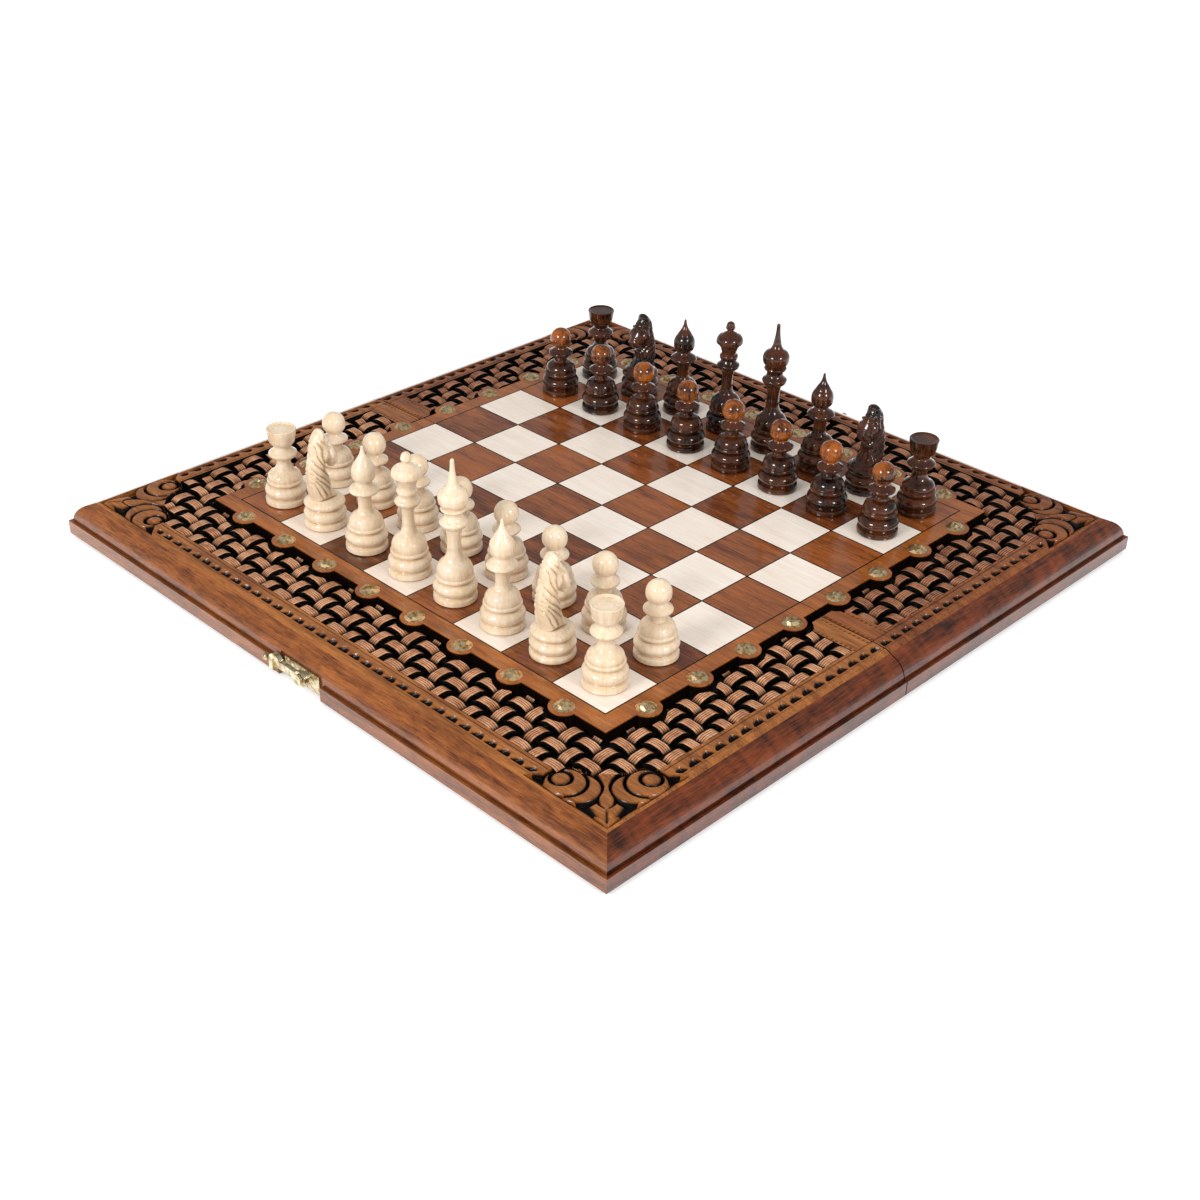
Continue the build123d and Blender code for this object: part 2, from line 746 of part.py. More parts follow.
def horse_head():
    """Horse's head and neck, looking along +Y: a sawn side outline narrowed towards the poll."""
    side_plane = Plane((0, 0, 0), x_dir=(0, 1, 0), z_dir=(1, 0, 0))
    profile = [(x, z, -bulge) for x, z, bulge in head_outline]
    head = extrude(side_plane * swelling_outline(profile), knight_neck_width / 2, both=True)
    low = head_outline[0][1]
    high = max(z for x, z, bulge in head_outline)
    neck, poll = knight_neck_width / 2, knight_poll_width / 2
    front = make_face(Polyline((-neck, low), (neck, low), (poll, high), (-poll, high), close=True))
    return head & extrude(Plane.XZ * front, 2 * knight_neck_width, both=True)


def man(kind):
    """One man of the given kind, standing at the origin and looking along +Y."""
    if kind == "knight":
        return turned(knight_foot, knight_foot[-1][0]) + horse_head()
    return turned(man_foot + bodies[kind], man_heights[kind])


def man_name(kind, file):
    """Name of a man: the kind alone where there is one of it, else with the letter of its file."""
    letter = "abcdefgh"[file]
    return kind if back_rank.count(kind) == 1 else f"{kind}_{letter}"


def file_x(file):
    """Centre of a file, counted from the left."""
    return (file + 0.5) * square - half_field


def export_node(name, solids):
    """Write one node as a STEP file."""
    export_step(Compound(children=list(solids)), f"parts/{name}.step")


def half_pieces():
    """The wooden pieces, studs and pads of the white half, by name."""
    return {
        "outer_rail": [long_rail()],
        "side_rails": [side_rail(-1), side_rail(1)],
        "seam_rail": [seam_rail()],
        "base_board": [base_board()],
        "points": backgammon_points(),
        "field_board": [field_board()],
        "light_squares": squares(False),
        "dark_squares": squares(True),
        "studs": studs(),
        "carved_border": [carved_border()],
        "felt_pads": felt_pads(),
    }


def export_halves():
    """Write both halves of the case: the dark half is the white half turned about the centre."""
    for name, solids in half_pieces().items():
        export_node(f"white_half_{name}", solids)
        export_node(f"dark_half_{name}", [turn_half * solid for solid in solids])


def export_fittings():
    """Write the hinges and the latch."""
    export_node("white_half_hinge_leaves", hinge_leaves((0, 2)))
    export_node("dark_half_hinge_leaves", [turn_half * solid for solid in hinge_leaves((1,))])
    export_node("hinge_pins", hinge_pins())
    export_node("latch_pivot_plate", pivot_plate())
    export_node("latch_hook", [latch_hook()])
    export_node("latch_catch_plate", [turn_half * solid for solid in catch_plate()])


def export_men(side, place, towards):
    """Write one side's sixteen men on their first two ranks, looking at the other side."""
    pawn = man("pawn")
    for file in range(files):
        officer_at = Pos(file_x(file), towards * (half_field - square / 2), top_z)
        pawn_at = Pos(file_x(file), towards * (half_field - square * 3 / 2), top_z)
        kind = back_rank[file]
        export_node(f"{side}_{man_name(kind, file)}", [officer_at * place * man(kind)])
        export_node(f"{side}_{man_name('pawn', file)}", [pawn_at * place * pawn])


os.makedirs("parts", exist_ok=True)
export_halves()
export_fittings()
export_men("white", Pos(0, 0, 0), -1)
export_men("dark", turn_half, 1)
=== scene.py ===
"""Folding chess and backgammon board, opened flat with the chess side up and the men set out.

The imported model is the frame: it gives the case, the hinges, the latch and every moving body. This script
adds what a carver and a finisher would: the woven border, the scrolls, the hammered studs, the turned and
carved men, and the finish of each surface. Lengths are millimetres until a mesh is made, then metres.
"""

from __future__ import annotations

import logging
import math
from dataclasses import dataclass, field
from enum import Enum
from functools import cache
from typing import Any, Callable, Iterable, Sequence

import bpy
import numpy as np
from mathutils import Matrix, Vector


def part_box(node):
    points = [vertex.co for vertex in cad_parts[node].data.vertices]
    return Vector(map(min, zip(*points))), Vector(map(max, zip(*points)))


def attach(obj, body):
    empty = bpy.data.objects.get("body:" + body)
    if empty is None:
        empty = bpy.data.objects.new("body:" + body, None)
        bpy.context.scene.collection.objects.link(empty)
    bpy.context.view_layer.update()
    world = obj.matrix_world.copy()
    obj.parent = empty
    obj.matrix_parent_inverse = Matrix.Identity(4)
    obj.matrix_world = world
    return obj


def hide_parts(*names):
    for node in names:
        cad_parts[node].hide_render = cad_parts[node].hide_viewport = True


MM = 0.001
FAR = 20.0
BEVEL_FROM_DEGREES = 50
MIDDLE_STOPS = (0.3, 0.7)
LOG = logging.getLogger("board")

Array = np.ndarray
Distance = Callable[[Array, Array], Array]
Faces = list[list[int]]
Pair = tuple[float, float]
Triple = tuple[float, float, float]
Quad = tuple[float, float, float, float]
Material = bpy.types.Material
Socket = bpy.types.NodeSocket
Tree = bpy.types.NodeTree

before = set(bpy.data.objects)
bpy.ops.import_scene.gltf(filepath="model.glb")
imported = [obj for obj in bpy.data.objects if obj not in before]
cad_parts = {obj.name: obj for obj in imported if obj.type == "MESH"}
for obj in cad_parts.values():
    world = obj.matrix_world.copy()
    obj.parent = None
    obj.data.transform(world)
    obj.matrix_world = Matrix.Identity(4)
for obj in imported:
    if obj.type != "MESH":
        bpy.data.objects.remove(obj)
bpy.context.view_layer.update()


class Side(Enum):
    """The two halves of the case, with the turn about the centre that places each."""

    WHITE = ("white", 1.0)
    DARK = ("dark", -1.0)

    @property
    def word(self) -> str:
        """The side's name in node and body names."""
        return self.value[0]

    @property
    def turn(self) -> float:
        """Factor on x and y that takes the white half's places to this half."""
        return self.value[1]

    @property
    def body(self) -> str:
        """Name of the half's moving body."""
        return f"{self.word}_half"

    def node(self, part: str) -> str:
        """Name of one of the half's nodes."""
        return f"{self.word}_half_{part}"


class Grain(Enum):
    """Direction of the wood's grain, as the turn that lays the pattern's long axis along it."""

    ALONG_X = (0.0, 0.0, 0.0)
    ALONG_Y = (0.0, 0.0, math.pi / 2)
    ALONG_Z = (0.0, math.pi / 2, 0.0)


@cache
def box_mm(node: str) -> tuple[Vector, Vector]:
    """Lowest and highest corner of a node in millimetres.

    Args:
        node: Name of the node.

    Returns:
        The two corners.
    """
    low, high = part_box(node)
    return low / MM, high / MM


def linear(code: str) -> Quad:
    """An sRGB hex colour as linear RGBA.

    Args:
        code: Six hex digits after a hash.

    Returns:
        The colour with full alpha.
    """
    values = [int(code[k : k + 2], 16) / 255 for k in (1, 3, 5)]
    curve = [v / 12.92 if v <= 0.04045 else ((v + 0.055) / 1.055) ** 2.4 for v in values]
    return (*curve, 1.0)


def fill(node: bpy.types.Node, inputs: dict[Any, Any]) -> None:
    """Set or link a node's inputs.

    Args:
        node: Node that takes them.
        inputs: By socket name or number, the value to set or the socket to link from.
    """
    for key, value in inputs.items():
        if isinstance(value, Socket):
            node.id_data.links.new(value, node.inputs[key])
        else:
            node.inputs[key].default_value = value


def add(tree: Tree, kind: str, inputs: dict[Any, Any] | None = None, **settings: Any) -> bpy.types.Node:
    """Add one node to a tree.

    Args:
        tree: Tree that takes the node.
        kind: Blender's name of the node type, after its ShaderNode.
        inputs: By socket name or number, the value to set or the socket to link from.
        settings: Attributes of the node itself.

    Returns:
        The new node.
    """
    node = tree.nodes.new(f"ShaderNode{kind}")
    for key, value in settings.items():
        setattr(node, key, value)
    fill(node, inputs or {})
    return node


def ramp(tree: Tree, factor: Socket, stops: Sequence[float], shades: Sequence[Any]) -> Socket:
    """Map a factor through a colour ramp.

    Args:
        tree: Tree that takes the ramp.
        factor: Socket that drives it.
        stops: Positions from 0 to 1.
        shades: A grey level or a linear colour for each.

    Returns:
        The ramp's colour socket.
    """
    node = add(tree, "ValToRGB", {"Fac": factor})
    elements = node.color_ramp.elements
    for element, position, shade in zip(elements, stops, shades):
        element.position = position
        element.color = shade if isinstance(shade, tuple) else (shade, shade, shade, 1.0)
    return node.outputs["Color"]


@dataclass
class Sheet:
    """A material in the making: its tree, its shader and the object's own coordinates in metres."""

    tree: Tree
    shader: bpy.types.Node
    place: Socket

    def marks(self, size_mm: float, detail: float) -> Socket:
        """Even mottling, from 0 to 1.

        Args:
            size_mm: Size of a mark in millimetres.
            detail: Octaves of finer marks.

        Returns:
            The mottling.
        """
        noise = {"Vector": self.place, "Scale": 1 / (size_mm * MM), "Detail": detail}
        return add(self.tree, "TexNoise", noise).outputs["Fac"]

    def saw_streaks(self, stretch: Triple, detail: float) -> Socket:
        """Plain streaks along X for the surfaces inside the tray, from 0 to 1.

        Args:
            stretch: Streaks per metre along each axis.
            detail: Octaves of finer streaks.

        Returns:
            The streaks.
        """
        scaled = add(self.tree, "VectorMath", {0: self.place, 1: stretch}, operation="MULTIPLY").outputs[0]
        return add(self.tree, "TexNoise", {"Vector": scaled, "Scale": 1.0, "Detail": detail}).outputs["Fac"]


@dataclass(frozen=True)
class Finish:
    """A named procedural finish."""

    name: str

    def dress(self, sheet: Sheet) -> None:
        """Give the material its pattern and its surface, in the way of the finish."""
        raise NotImplementedError

    def build(self) -> Material:
        """Make the material.

        Returns:
            The finished material.
        """
        material = bpy.data.materials.new(self.name)
        material.use_nodes = True
        tree = material.node_tree
        place = add(tree, "TexCoord").outputs["Object"]
        self.dress(Sheet(tree, tree.nodes["Principled BSDF"], place))
        return material


@dataclass(frozen=True)
class LacqueredWood(Finish):
    """Sawn or turned hardwood under clear lacquer: streaky figure, short dark pores, a wet gloss."""

    light: str
    dark: str
    pore: str
    grain: Grain
    figure_mm: float = 9.0
    streak_mm: float = 1.6
    stretch: float = 14.0
    pore_mm: float = 0.45
    pore_amount: float = 0.55
    roughness: float = 0.32
    ior: float = 1.5
    bare_shine: float = 0.15
    gloss: float = 1.0
    gloss_roughness: float = 0.09
    tile_mm: float = 0.0
    tile_contrast: float = 0.0
    kerf: str = "#2c160b"
    kerf_mm: float = 0.5
    curl_mm: float = 0.0
    curl_amount: float = 0.0
    # Black stain colour; where the stain mask fades in with depth it also paints shade.
    stain: str = "#0c0604"
    stain_below_mm: float = 0.0
    stain_fade_mm: float = 0.3
    stain_reach_mm: float = 300.0
    lined_half_mm: float = 0.0
    # Painted shade: pore colour laid in creases by ambient occlusion within this distance, at this strength,
    # between these openness levels.
    crease_mm: float = 0.0
    crease_amount: float = 0.8
    crease_open: Pair = (0.4, 0.95)
    curl_length: float = 4.0
    tile_shift: Triple = (900.0, 700.0, 500.0)
    noise_roughness: float = 0.6
    noise_bend: float = 0.25
    figure_stops: Pair = (0.36, 0.62)
    pore_stops: Pair = (0.6, 0.72)
    pore_strength: float = 0.12
    pore_depth_mm: float = 0.12
    rough_shares: Pair = (0.8, 1.2)

    def coordinates(self, sheet: Sheet) -> tuple[Socket, Socket | None]:
        """Place the pattern in the wood, in millimetres with x along the grain.

        Args:
            sheet: Material in the making.

        Returns:
            The coordinates, and a random grey for each tile where the wood is cut in tiles.
        """
        tree = sheet.tree
        turn = {"Rotation": self.grain.value, "Scale": (1 / MM,) * 3}
        base = add(tree, "Mapping", {"Vector": sheet.place, **turn}).outputs["Vector"]
        if not self.tile_mm:
            return base, None
        flat = add(tree, "VectorMath", {0: base, 1: (1, 1, 0)}, operation="MULTIPLY").outputs[0]
        cell = add(tree, "VectorMath", {0: flat, 1: (self.tile_mm,) * 3}, operation="SNAP").outputs[0]
        chance = add(tree, "TexWhiteNoise", {"Vector": cell}).outputs
        spread = {0: chance["Color"], 1: self.tile_shift}
        shift = add(tree, "VectorMath", spread, operation="MULTIPLY").outputs[0]
        return add(tree, "VectorMath", {0: base, 1: shift}, operation="ADD").outputs[0], chance["Value"]

    def streaks(self, tree: Tree, place: Socket, width: float, length: float, detail: float) -> Socket:
        """Noise stretched along the grain.

        Args:
            tree: Tree that takes the nodes.
            place: Coordinates in millimetres.
            width: Width of a streak in millimetres.
            length: Length of a streak in widths.
            detail: Octaves of the noise.

        Returns:
            The noise, from 0 to 1.
        """
        stretch = (1 / (width * length), 1 / width, 1 / width)
        scaled = add(tree, "VectorMath", {0: place, 1: stretch}, operation="MULTIPLY").outputs[0]
        noise = {"Vector": scaled, "Scale": 1.0, "Detail": detail, "Roughness": self.noise_roughness}
        return add(tree, "TexNoise", {**noise, "Distortion": self.noise_bend}).outputs["Fac"]

    def curl(self, tree: Tree, place: Socket) -> Socket:
        """Curly figure: soft bands that cross the grain.

        Args:
            tree: Tree that takes the nodes.
            place: Coordinates in millimetres.

        Returns:
            The bands' shade, about zero.
        """
        scale = (1 / self.curl_mm,) + (1 / (self.curl_mm * self.curl_length),) * 2
        scaled = add(tree, "VectorMath", {0: place, 1: scale}, operation="MULTIPLY").outputs[0]
        bands = add(tree, "TexNoise", {"Vector": scaled, "Scale": 1.0, "Detail": 2.0}).outputs["Fac"]
        low, high = MIDDLE_STOPS
        reach = {"From Min": low, "From Max": high, "To Min": -self.curl_amount, "To Max": self.curl_amount}
        return add(tree, "MapRange", {"Value": bands, **reach}).outputs[0]

    def kerf_mask(self, sheet: Sheet) -> Socket:
        """The edges of the tiles, where lacquer and dust fill the saw cut.

        Args:
            sheet: Material in the making.

        Returns:
            The mask, 1 on the dark lines.
        """
        tree, half = sheet.tree, self.tile_mm * MM / 2
        parts = add(tree, "SeparateXYZ", {"Vector": sheet.place}).outputs
        edges = [add(tree, "Math", {0: parts[k], 1: half}, operation="PINGPONG").outputs[0] for k in "XY"]
        nearest = add(tree, "Math", dict(enumerate(edges)), operation="MINIMUM").outputs[0]
        return add(tree, "Math", {0: nearest, 1: self.kerf_mm * MM}, operation="LESS_THAN").outputs[0]

    def crease_mask(self, tree: Tree) -> Socket:
        """Painted shade in steps and grooves: the pore colour laid where ambient occlusion finds the surface
        closed in.

        Args:
            tree: Tree that takes the nodes.

        Returns:
            The mask, strongest in the deepest creases.
        """
        sky = add(tree, "AmbientOcclusion", {"Distance": self.crease_mm * MM}, samples=6).outputs["AO"]
        low, high = self.crease_open
        reach = {"From Min": low, "From Max": high, "To Min": self.crease_amount, "To Max": 0.0}
        return add(tree, "MapRange", {"Value": sky, **reach}).outputs[0]

    def stain_mask(self, sheet: Sheet) -> Socket:
        """Where black colour lies: black stain in the lines between the squares, and in the sunk parts black
        stain that fades in with depth as painted shade.

        Args:
            sheet: Material in the making.

        Returns:
            The mask, 1 where the stain covers the wood; in between, painted shade that grows with depth.
        """
        tree = sheet.tree
        parts = add(tree, "SeparateXYZ", {"Vector": sheet.place}).outputs
        sides = [add(tree, "Math", {0: parts[k]}, operation="ABSOLUTE").outputs[0] for k in "XY"]
        reach = add(tree, "Math", dict(enumerate(sides)), operation="MAXIMUM").outputs[0]
        # Painted shade: the colour darkens with depth below the top, fading in over the fade distance.
        low, high = (self.stain_below_mm - self.stain_fade_mm) * MM, self.stain_below_mm * MM
        depth = {"From Min": low, "From Max": high, "To Min": 1.0, "To Max": 0.0}
        sunk = add(tree, "MapRange", {"Value": parts["Z"], **depth}).outputs[0]
        near = add(tree, "Math", {0: reach, 1: self.stain_reach_mm * MM}, operation="LESS_THAN").outputs[0]
        mask = add(tree, "Math", {0: sunk, 1: near}, operation="MULTIPLY").outputs[0]
        lined = add(tree, "Math", {0: reach, 1: self.lined_half_mm * MM}, operation="LESS_THAN").outputs[0]
        return add(tree, "Math", {0: mask, 1: lined}, operation="MAXIMUM").outputs[0]

    def dress(self, sheet: Sheet) -> None:
        """Lay figure, streaks and pores along the grain, then painted shade in the creases, black stain with
        painted shade by depth, kerfs and lacquer.

        Args:
            sheet: Material in the making.
        """
        tree, colours, coat = sheet.tree, {"data_type": "RGBA"}, self.gloss
        place, tile = self.coordinates(sheet)
        figure = self.streaks(tree, place, self.figure_mm, self.stretch / 2, 3.0)
        streak = self.streaks(tree, place, self.streak_mm, self.stretch, 4.0)
        total = add(tree, "Math", {0: figure, 1: streak}, operation="ADD").outputs[0]
        shade = add(tree, "Math", {0: total, 1: 0.5}, operation="MULTIPLY").outputs[0]
        if tile is not None:
            reach = {"To Min": -self.tile_contrast, "To Max": self.tile_contrast}
            step = add(tree, "MapRange", {"Value": tile, **reach}).outputs[0]
            shade = add(tree, "Math", {0: shade, 1: step}, operation="ADD").outputs[0]
        if self.curl_mm:
            shade = add(tree, "Math", {0: shade, 1: self.curl(tree, place)}, operation="ADD").outputs[0]
        wood = ramp(tree, shade, self.figure_stops, (linear(self.dark), linear(self.light)))
        pores = self.streaks(tree, place, self.pore_mm, self.stretch * 0.8, 1.0)
        pored = ramp(tree, pores, self.pore_stops, (0.0, self.pore_amount))
        wood = add(tree, "Mix", {0: pored, 6: wood, 7: linear(self.pore)}, **colours).outputs[2]
        # Painted shade: darken the creases that ambient occlusion finds.
        if self.crease_mm:
            mask = self.crease_mask(tree)
            wood = add(tree, "Mix", {0: mask, 6: wood, 7: linear(self.pore)}, **colours).outputs[2]
        # Black stain with painted shade graded by depth; the lacquer turns matt under it.
        if self.stain_below_mm:
            mask = self.stain_mask(sheet)
            wood = add(tree, "Mix", {0: mask, 6: wood, 7: linear(self.stain)}, **colours).outputs[2]
            coat = add(tree, "MapRange", {"Value": mask, "To Min": self.gloss, "To Max": 0.0}).outputs[0]
        if self.tile_mm:
            mask = self.kerf_mask(sheet)
            wood = add(tree, "Mix", {0: mask, 6: wood, 7: linear(self.kerf)}, **colours).outputs[2]
        raised = {"Strength": self.pore_strength, "Distance": self.pore_depth_mm * MM, "Height": pores}
        fill(sheet.shader, {
            "Base Color": wood,
            "Roughness": ramp(tree, streak, MIDDLE_STOPS, [self.roughness * k for k in self.rough_shares]),
            "Normal": add(tree, "Bump", raised, invert=True).outputs["Normal"],
            "IOR": self.ior,
            "Specular IOR Level": self.bare_shine,
            "Coat Weight": coat,
            "Coat Roughness": self.gloss_roughness,
        })


@dataclass(frozen=True)
class PolishedBrass(Finish):
    """Cast brass, polished: pale gold with small hammer and tool marks that break its highlights."""

    colour: str = "#ffebbe"
    shade: str = "#c99c56"
    mark_mm: float = 1.4
    roughness: float = 0.26
    rough_shares: Pair = (1.5, 0.7)
    mark_stops: Pair = (0.35, 0.6)
    dent_strength: float = 0.3
    dent_mm: float = 0.2

    def dress(self, sheet: Sheet) -> None:
        """Vary colour, roughness and surface from mark to mark.

        Args:
            sheet: Material in the making.
        """
        tree, marks = sheet.tree, sheet.marks(self.mark_mm, 3.0)
        dents = {"Strength": self.dent_strength, "Distance": self.dent_mm * MM, "Height": marks}
        fill(sheet.shader, {
            "Base Color": ramp(tree, marks, self.mark_stops, (linear(self.shade), linear(self.colour))),
            "Roughness": ramp(tree, marks, MIDDLE_STOPS, [self.roughness * k for k in self.rough_shares]),
            "Normal": add(tree, "Bump", dents).outputs["Normal"],
            "Metallic": 1.0,
        })


@dataclass(frozen=True)
class BlackStain(Finish):
    """Spirit stain brushed into the carving: nearly black and dull, with faint brush marks. On the band's
    deep cuts it also stands in for their shade, as painted shade.
    """

    colour: str = "#050404"
    worn: str = "#120c09"
    brush_mm: float = 2.5
    worn_stops: Pair = (0.45, 0.75)
    roughness: float = 0.6
    shine: float = 0.2

    def dress(self, sheet: Sheet) -> None:
        """Mottle the stain a little.

        Args:
            sheet: Material in the making.
        """
        marks, shades = sheet.marks(self.brush_mm, 3.0), (linear(self.colour), linear(self.worn))
        fill(sheet.shader, {
            "Base Color": ramp(sheet.tree, marks, self.worn_stops, shades),
            "Roughness": self.roughness,
            "Specular IOR Level": self.shine,
        })


@dataclass(frozen=True)
class WoolFelt(Finish):
    """Pressed wool felt: matt, with a short nap that shows as fine mottling."""

    colour: str = "#2f4a35"
    pale: float = 1.9
    nap_mm: float = 0.35
    nap_strength: float = 0.6
    nap_depth_mm: float = 0.3
    roughness: float = 0.95
    sheen: float = 0.4

    def dress(self, sheet: Sheet) -> None:
        """Mottle and roughen the felt with its nap.

        Args:
            sheet: Material in the making.
        """
        tree, nap, base = sheet.tree, sheet.marks(self.nap_mm, 4.0), linear(self.colour)
        worn = tuple(min(1.0, c * self.pale) for c in base[:3]) + (1.0,)
        fluff = {"Strength": self.nap_strength, "Distance": self.nap_depth_mm * MM, "Height": nap}
        fill(sheet.shader, {
            "Base Color": ramp(tree, nap, MIDDLE_STOPS, (base, worn)),
            "Normal": add(tree, "Bump", fluff).outputs["Normal"],
            "Roughness": self.roughness,
            "Sheen Weight": self.sheen,
        })


@dataclass(frozen=True)
class TrayBoard(Finish):
    """The tray's base board: black stain on the face under the weave, satin walnut on the tray's floor."""

    wood: str = "#8a5a34"
    wood_dark: str = "#5d3618"
    stain: str = "#0a0706"
    split_z_mm: float = 20.0
    streaks: Triple = (20.0, 300.0, 300.0)
    streak_stops: Pair = (0.35, 0.65)
    roughness: float = 0.5

    def dress(self, sheet: Sheet) -> None:
        """Stain the upper face and leave the rest plain walnut.

        Args:
            sheet: Material in the making.
        """
        tree = sheet.tree
        streak = sheet.saw_streaks(self.streaks, 5.0)
        wood = ramp(tree, streak, self.streak_stops, (linear(self.wood_dark), linear(self.wood)))
        height = add(tree, "SeparateXYZ", {"Vector": sheet.place}).outputs["Z"]
        above = add(tree, "Math", {0: height, 1: self.split_z_mm * MM}, operation="GREATER_THAN").outputs[0]
        colour = add(tree, "Mix", {0: above, 6: wood, 7: linear(self.stain)}, data_type="RGBA").outputs[2]
        fill(sheet.shader, {"Base Color": colour, "Roughness": self.roughness})


@dataclass(frozen=True)
class PointInlay(Finish):
    """Backgammon points: every other one pale maple, the rest dark walnut."""

    pale: str = "#d9b88a"
    pale_dark: str = "#c79e6c"
    deep: str = "#6b3b1d"
    deep_dark: str = "#3f2010"
    start_mm: float = 232.0
    pitch_mm: float = 35.64
    streaks: Triple = (25.0, 500.0, 500.0)
    roughness: float = 0.4

    def dress(self, sheet: Sheet) -> None:
        """Tell the points apart by their place along the board, the other way round on the far side.

        Args:
            sheet: Material in the making.
        """
        tree = sheet.tree
        parts = add(tree, "SeparateXYZ", {"Vector": sheet.place}).outputs
        reach = add(tree, "Math", {0: parts["Y"]}, operation="ABSOLUTE").outputs[0]
        steps = add(tree, "Math", {0: self.start_mm * MM, 1: reach}, operation="SUBTRACT").outputs[0]
        count = add(tree, "Math", {0: steps, 1: self.pitch_mm * MM}, operation="DIVIDE").outputs[0]
        side = add(tree, "Math", {0: parts["X"], 1: 0.0}, operation="GREATER_THAN").outputs[0]
        whole = add(tree, "Math", {0: count}, operation="FLOOR").outputs[0]
        total = add(tree, "Math", {0: whole, 1: side}, operation="ADD").outputs[0]
        odd = add(tree, "Math", {0: total, 1: 2.0}, operation="FLOORED_MODULO").outputs[0]
        streak = sheet.saw_streaks(self.streaks, 4.0)
        deep = ramp(tree, streak, MIDDLE_STOPS, (linear(self.deep_dark), linear(self.deep)))
        pale = ramp(tree, streak, MIDDLE_STOPS, (linear(self.pale_dark), linear(self.pale)))
        colour = add(tree, "Mix", {0: odd, 6: pale, 7: deep}, data_type="RGBA").outputs[2]
        fill(sheet.shader, {"Base Color": colour, "Roughness": self.roughness})


@dataclass(frozen=True)
class StudioWhite(Finish):
    """White sweep under the board: it reads as pure white and keeps the contact shadow."""

    glow: float = 0.38
    grey: float = 0.8

    def dress(self, sheet: Sheet) -> None:
        """Let a matt white glow a little for the camera and in what gloss reflects.

        Args:
            sheet: Material in the making.
        """
        tree = sheet.tree
        tree.nodes.remove(sheet.shader)
        matt = add(tree, "BsdfDiffuse", {"Color": (self.grey, self.grey, self.grey, 1)})
        path = add(tree, "LightPath").outputs
        rays = {0: path["Is Camera Ray"], 1: path["Is Glossy Ray"]}
        seen = add(tree, "Math", rays, operation="MAXIMUM").outputs[0]
        power = add(tree, "Math", {0: seen, 1: self.glow}, operation="MULTIPLY").outputs[0]
        light = add(tree, "Emission", {"Color": (1, 1, 1, 1), "Strength": power})
        both = add(tree, "AddShader", {0: matt.outputs[0], 1: light.outputs[0]})
        fill(tree.nodes["Material Output"], {"Surface": both.outputs[0]})


@dataclass
class Palette:
    """Every finish of the object, made once and shared."""

    made: dict[str, Material] = field(default_factory=dict)

    def finish(self, recipe: Finish) -> Material:
        """The material of a finish, made on first use.

        Args:
            recipe: The finish.

        Returns:
            The material.
        """
        if recipe.name not in self.made:
            self.made[recipe.name] = recipe.build()
        return self.made[recipe.name]

    def golden(self, grain: Grain) -> Material:
        """Lacquered walnut of the white half's outer rail: golden brown with fine darker streaks, lighter
        than the other rails partly as painted light, since this rail faces the left lamp.

        Args:
            grain: Direction of the grain.

        Returns:
            The material.
        """
        # Lit copy of the rail wood: lighter as painted light, with painted shade in the creases.
        recipe = LacqueredWood(
            "golden_walnut_" + grain.name.lower(), "#9e5b28", "#51250c", "#2c1206", grain, figure_mm=6.0,
            streak_mm=0.7, pore_amount=0.5, gloss_roughness=0.06, crease_mm=4.0, curl_mm=11.0,
            curl_amount=0.03,
        )
        return self.finish(recipe)

    def figured(self, grain: Grain) -> Material:
        """Lacquered walnut of all the other rails: dark reddish brown with curly figure across it, darker
        partly as painted shade, since these rails face away from the left lamp or lie at the back.

        Args:
            grain: Direction of the grain.

        Returns:
            The material.
        """
        # Shaded copy of the rail wood: darker as painted shade, with curly figure and painted shade in the
        # creases.
        recipe = LacqueredWood(
            "figured_walnut_" + grain.name.lower(), "#78350f", "#260b02", "#140501", grain, figure_mm=7.0,
            streak_mm=0.9, pore_amount=0.5, gloss_roughness=0.05, crease_mm=4.0, curl_mm=7.0,
            curl_amount=0.07,
        )
        return self.finish(recipe)

    def black(self) -> Material:
        """Black stain of the upright sides of the carving."""
        return self.finish(BlackStain("black_stain"))


PALETTE = Palette()


def smooth_by_angle(mesh: bpy.types.Mesh, degrees: float) -> None:
    """Shade a mesh smooth and keep the edges that turn more than an angle sharp.

    Args:
        mesh: Mesh to shade.
        degrees: Largest turn that stays smooth.
    """
    mesh.shade_smooth()
    mesh.set_sharp_from_angle(angle=math.radians(degrees))


def make_piece(
    name: str,
    points: Iterable[Sequence[float]],
    faces: Sequence[Sequence[int]],
    material: Material,
    body: str,
    slot: str,
    replaces: Sequence[str] = (),
    sharp: float = 40.0,
    second: Material | None = None,
    seconds: Sequence[bool] = (),
) -> bpy.types.Object:
    """Make a piece of the object from points in millimetres.

    Args:
        name: Name of the piece.
        points: Its vertices.
        faces: Its faces, as vertex numbers.
        material: Its finish.
        body: Body it moves with.
        slot: Record slot of its finish; not used.
        replaces: Nodes that it stands for.
        sharp: Smallest turn in degrees that stays a sharp edge.
        second: Another finish for some of the faces.
        seconds: Which faces take the other finish.

    Returns:
        The new object.
    """
    mesh = bpy.data.meshes.new(name)
    mesh.from_pydata([tuple(c * MM for c in point) for point in points], [], faces)
    mesh.materials.append(material)
    if second is not None:
        mesh.materials.append(second)
        mesh.polygons.foreach_set("material_index", np.array(seconds, dtype=np.int32))
    smooth_by_angle(mesh, sharp)
    piece = bpy.data.objects.new(name, mesh)
    bpy.context.scene.collection.objects.link(piece)
    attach(piece, body)
    if replaces:
        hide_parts(*replaces)
    return piece


def turned_points(points: Array, side: Side) -> Array:
    """Take points of the white half to the given half.

    Args:
        points: Points in millimetres, one per row.
        side: Half that takes them.

    Returns:
        The turned points.
    """
    return points * np.array([side.turn, side.turn, 1.0])


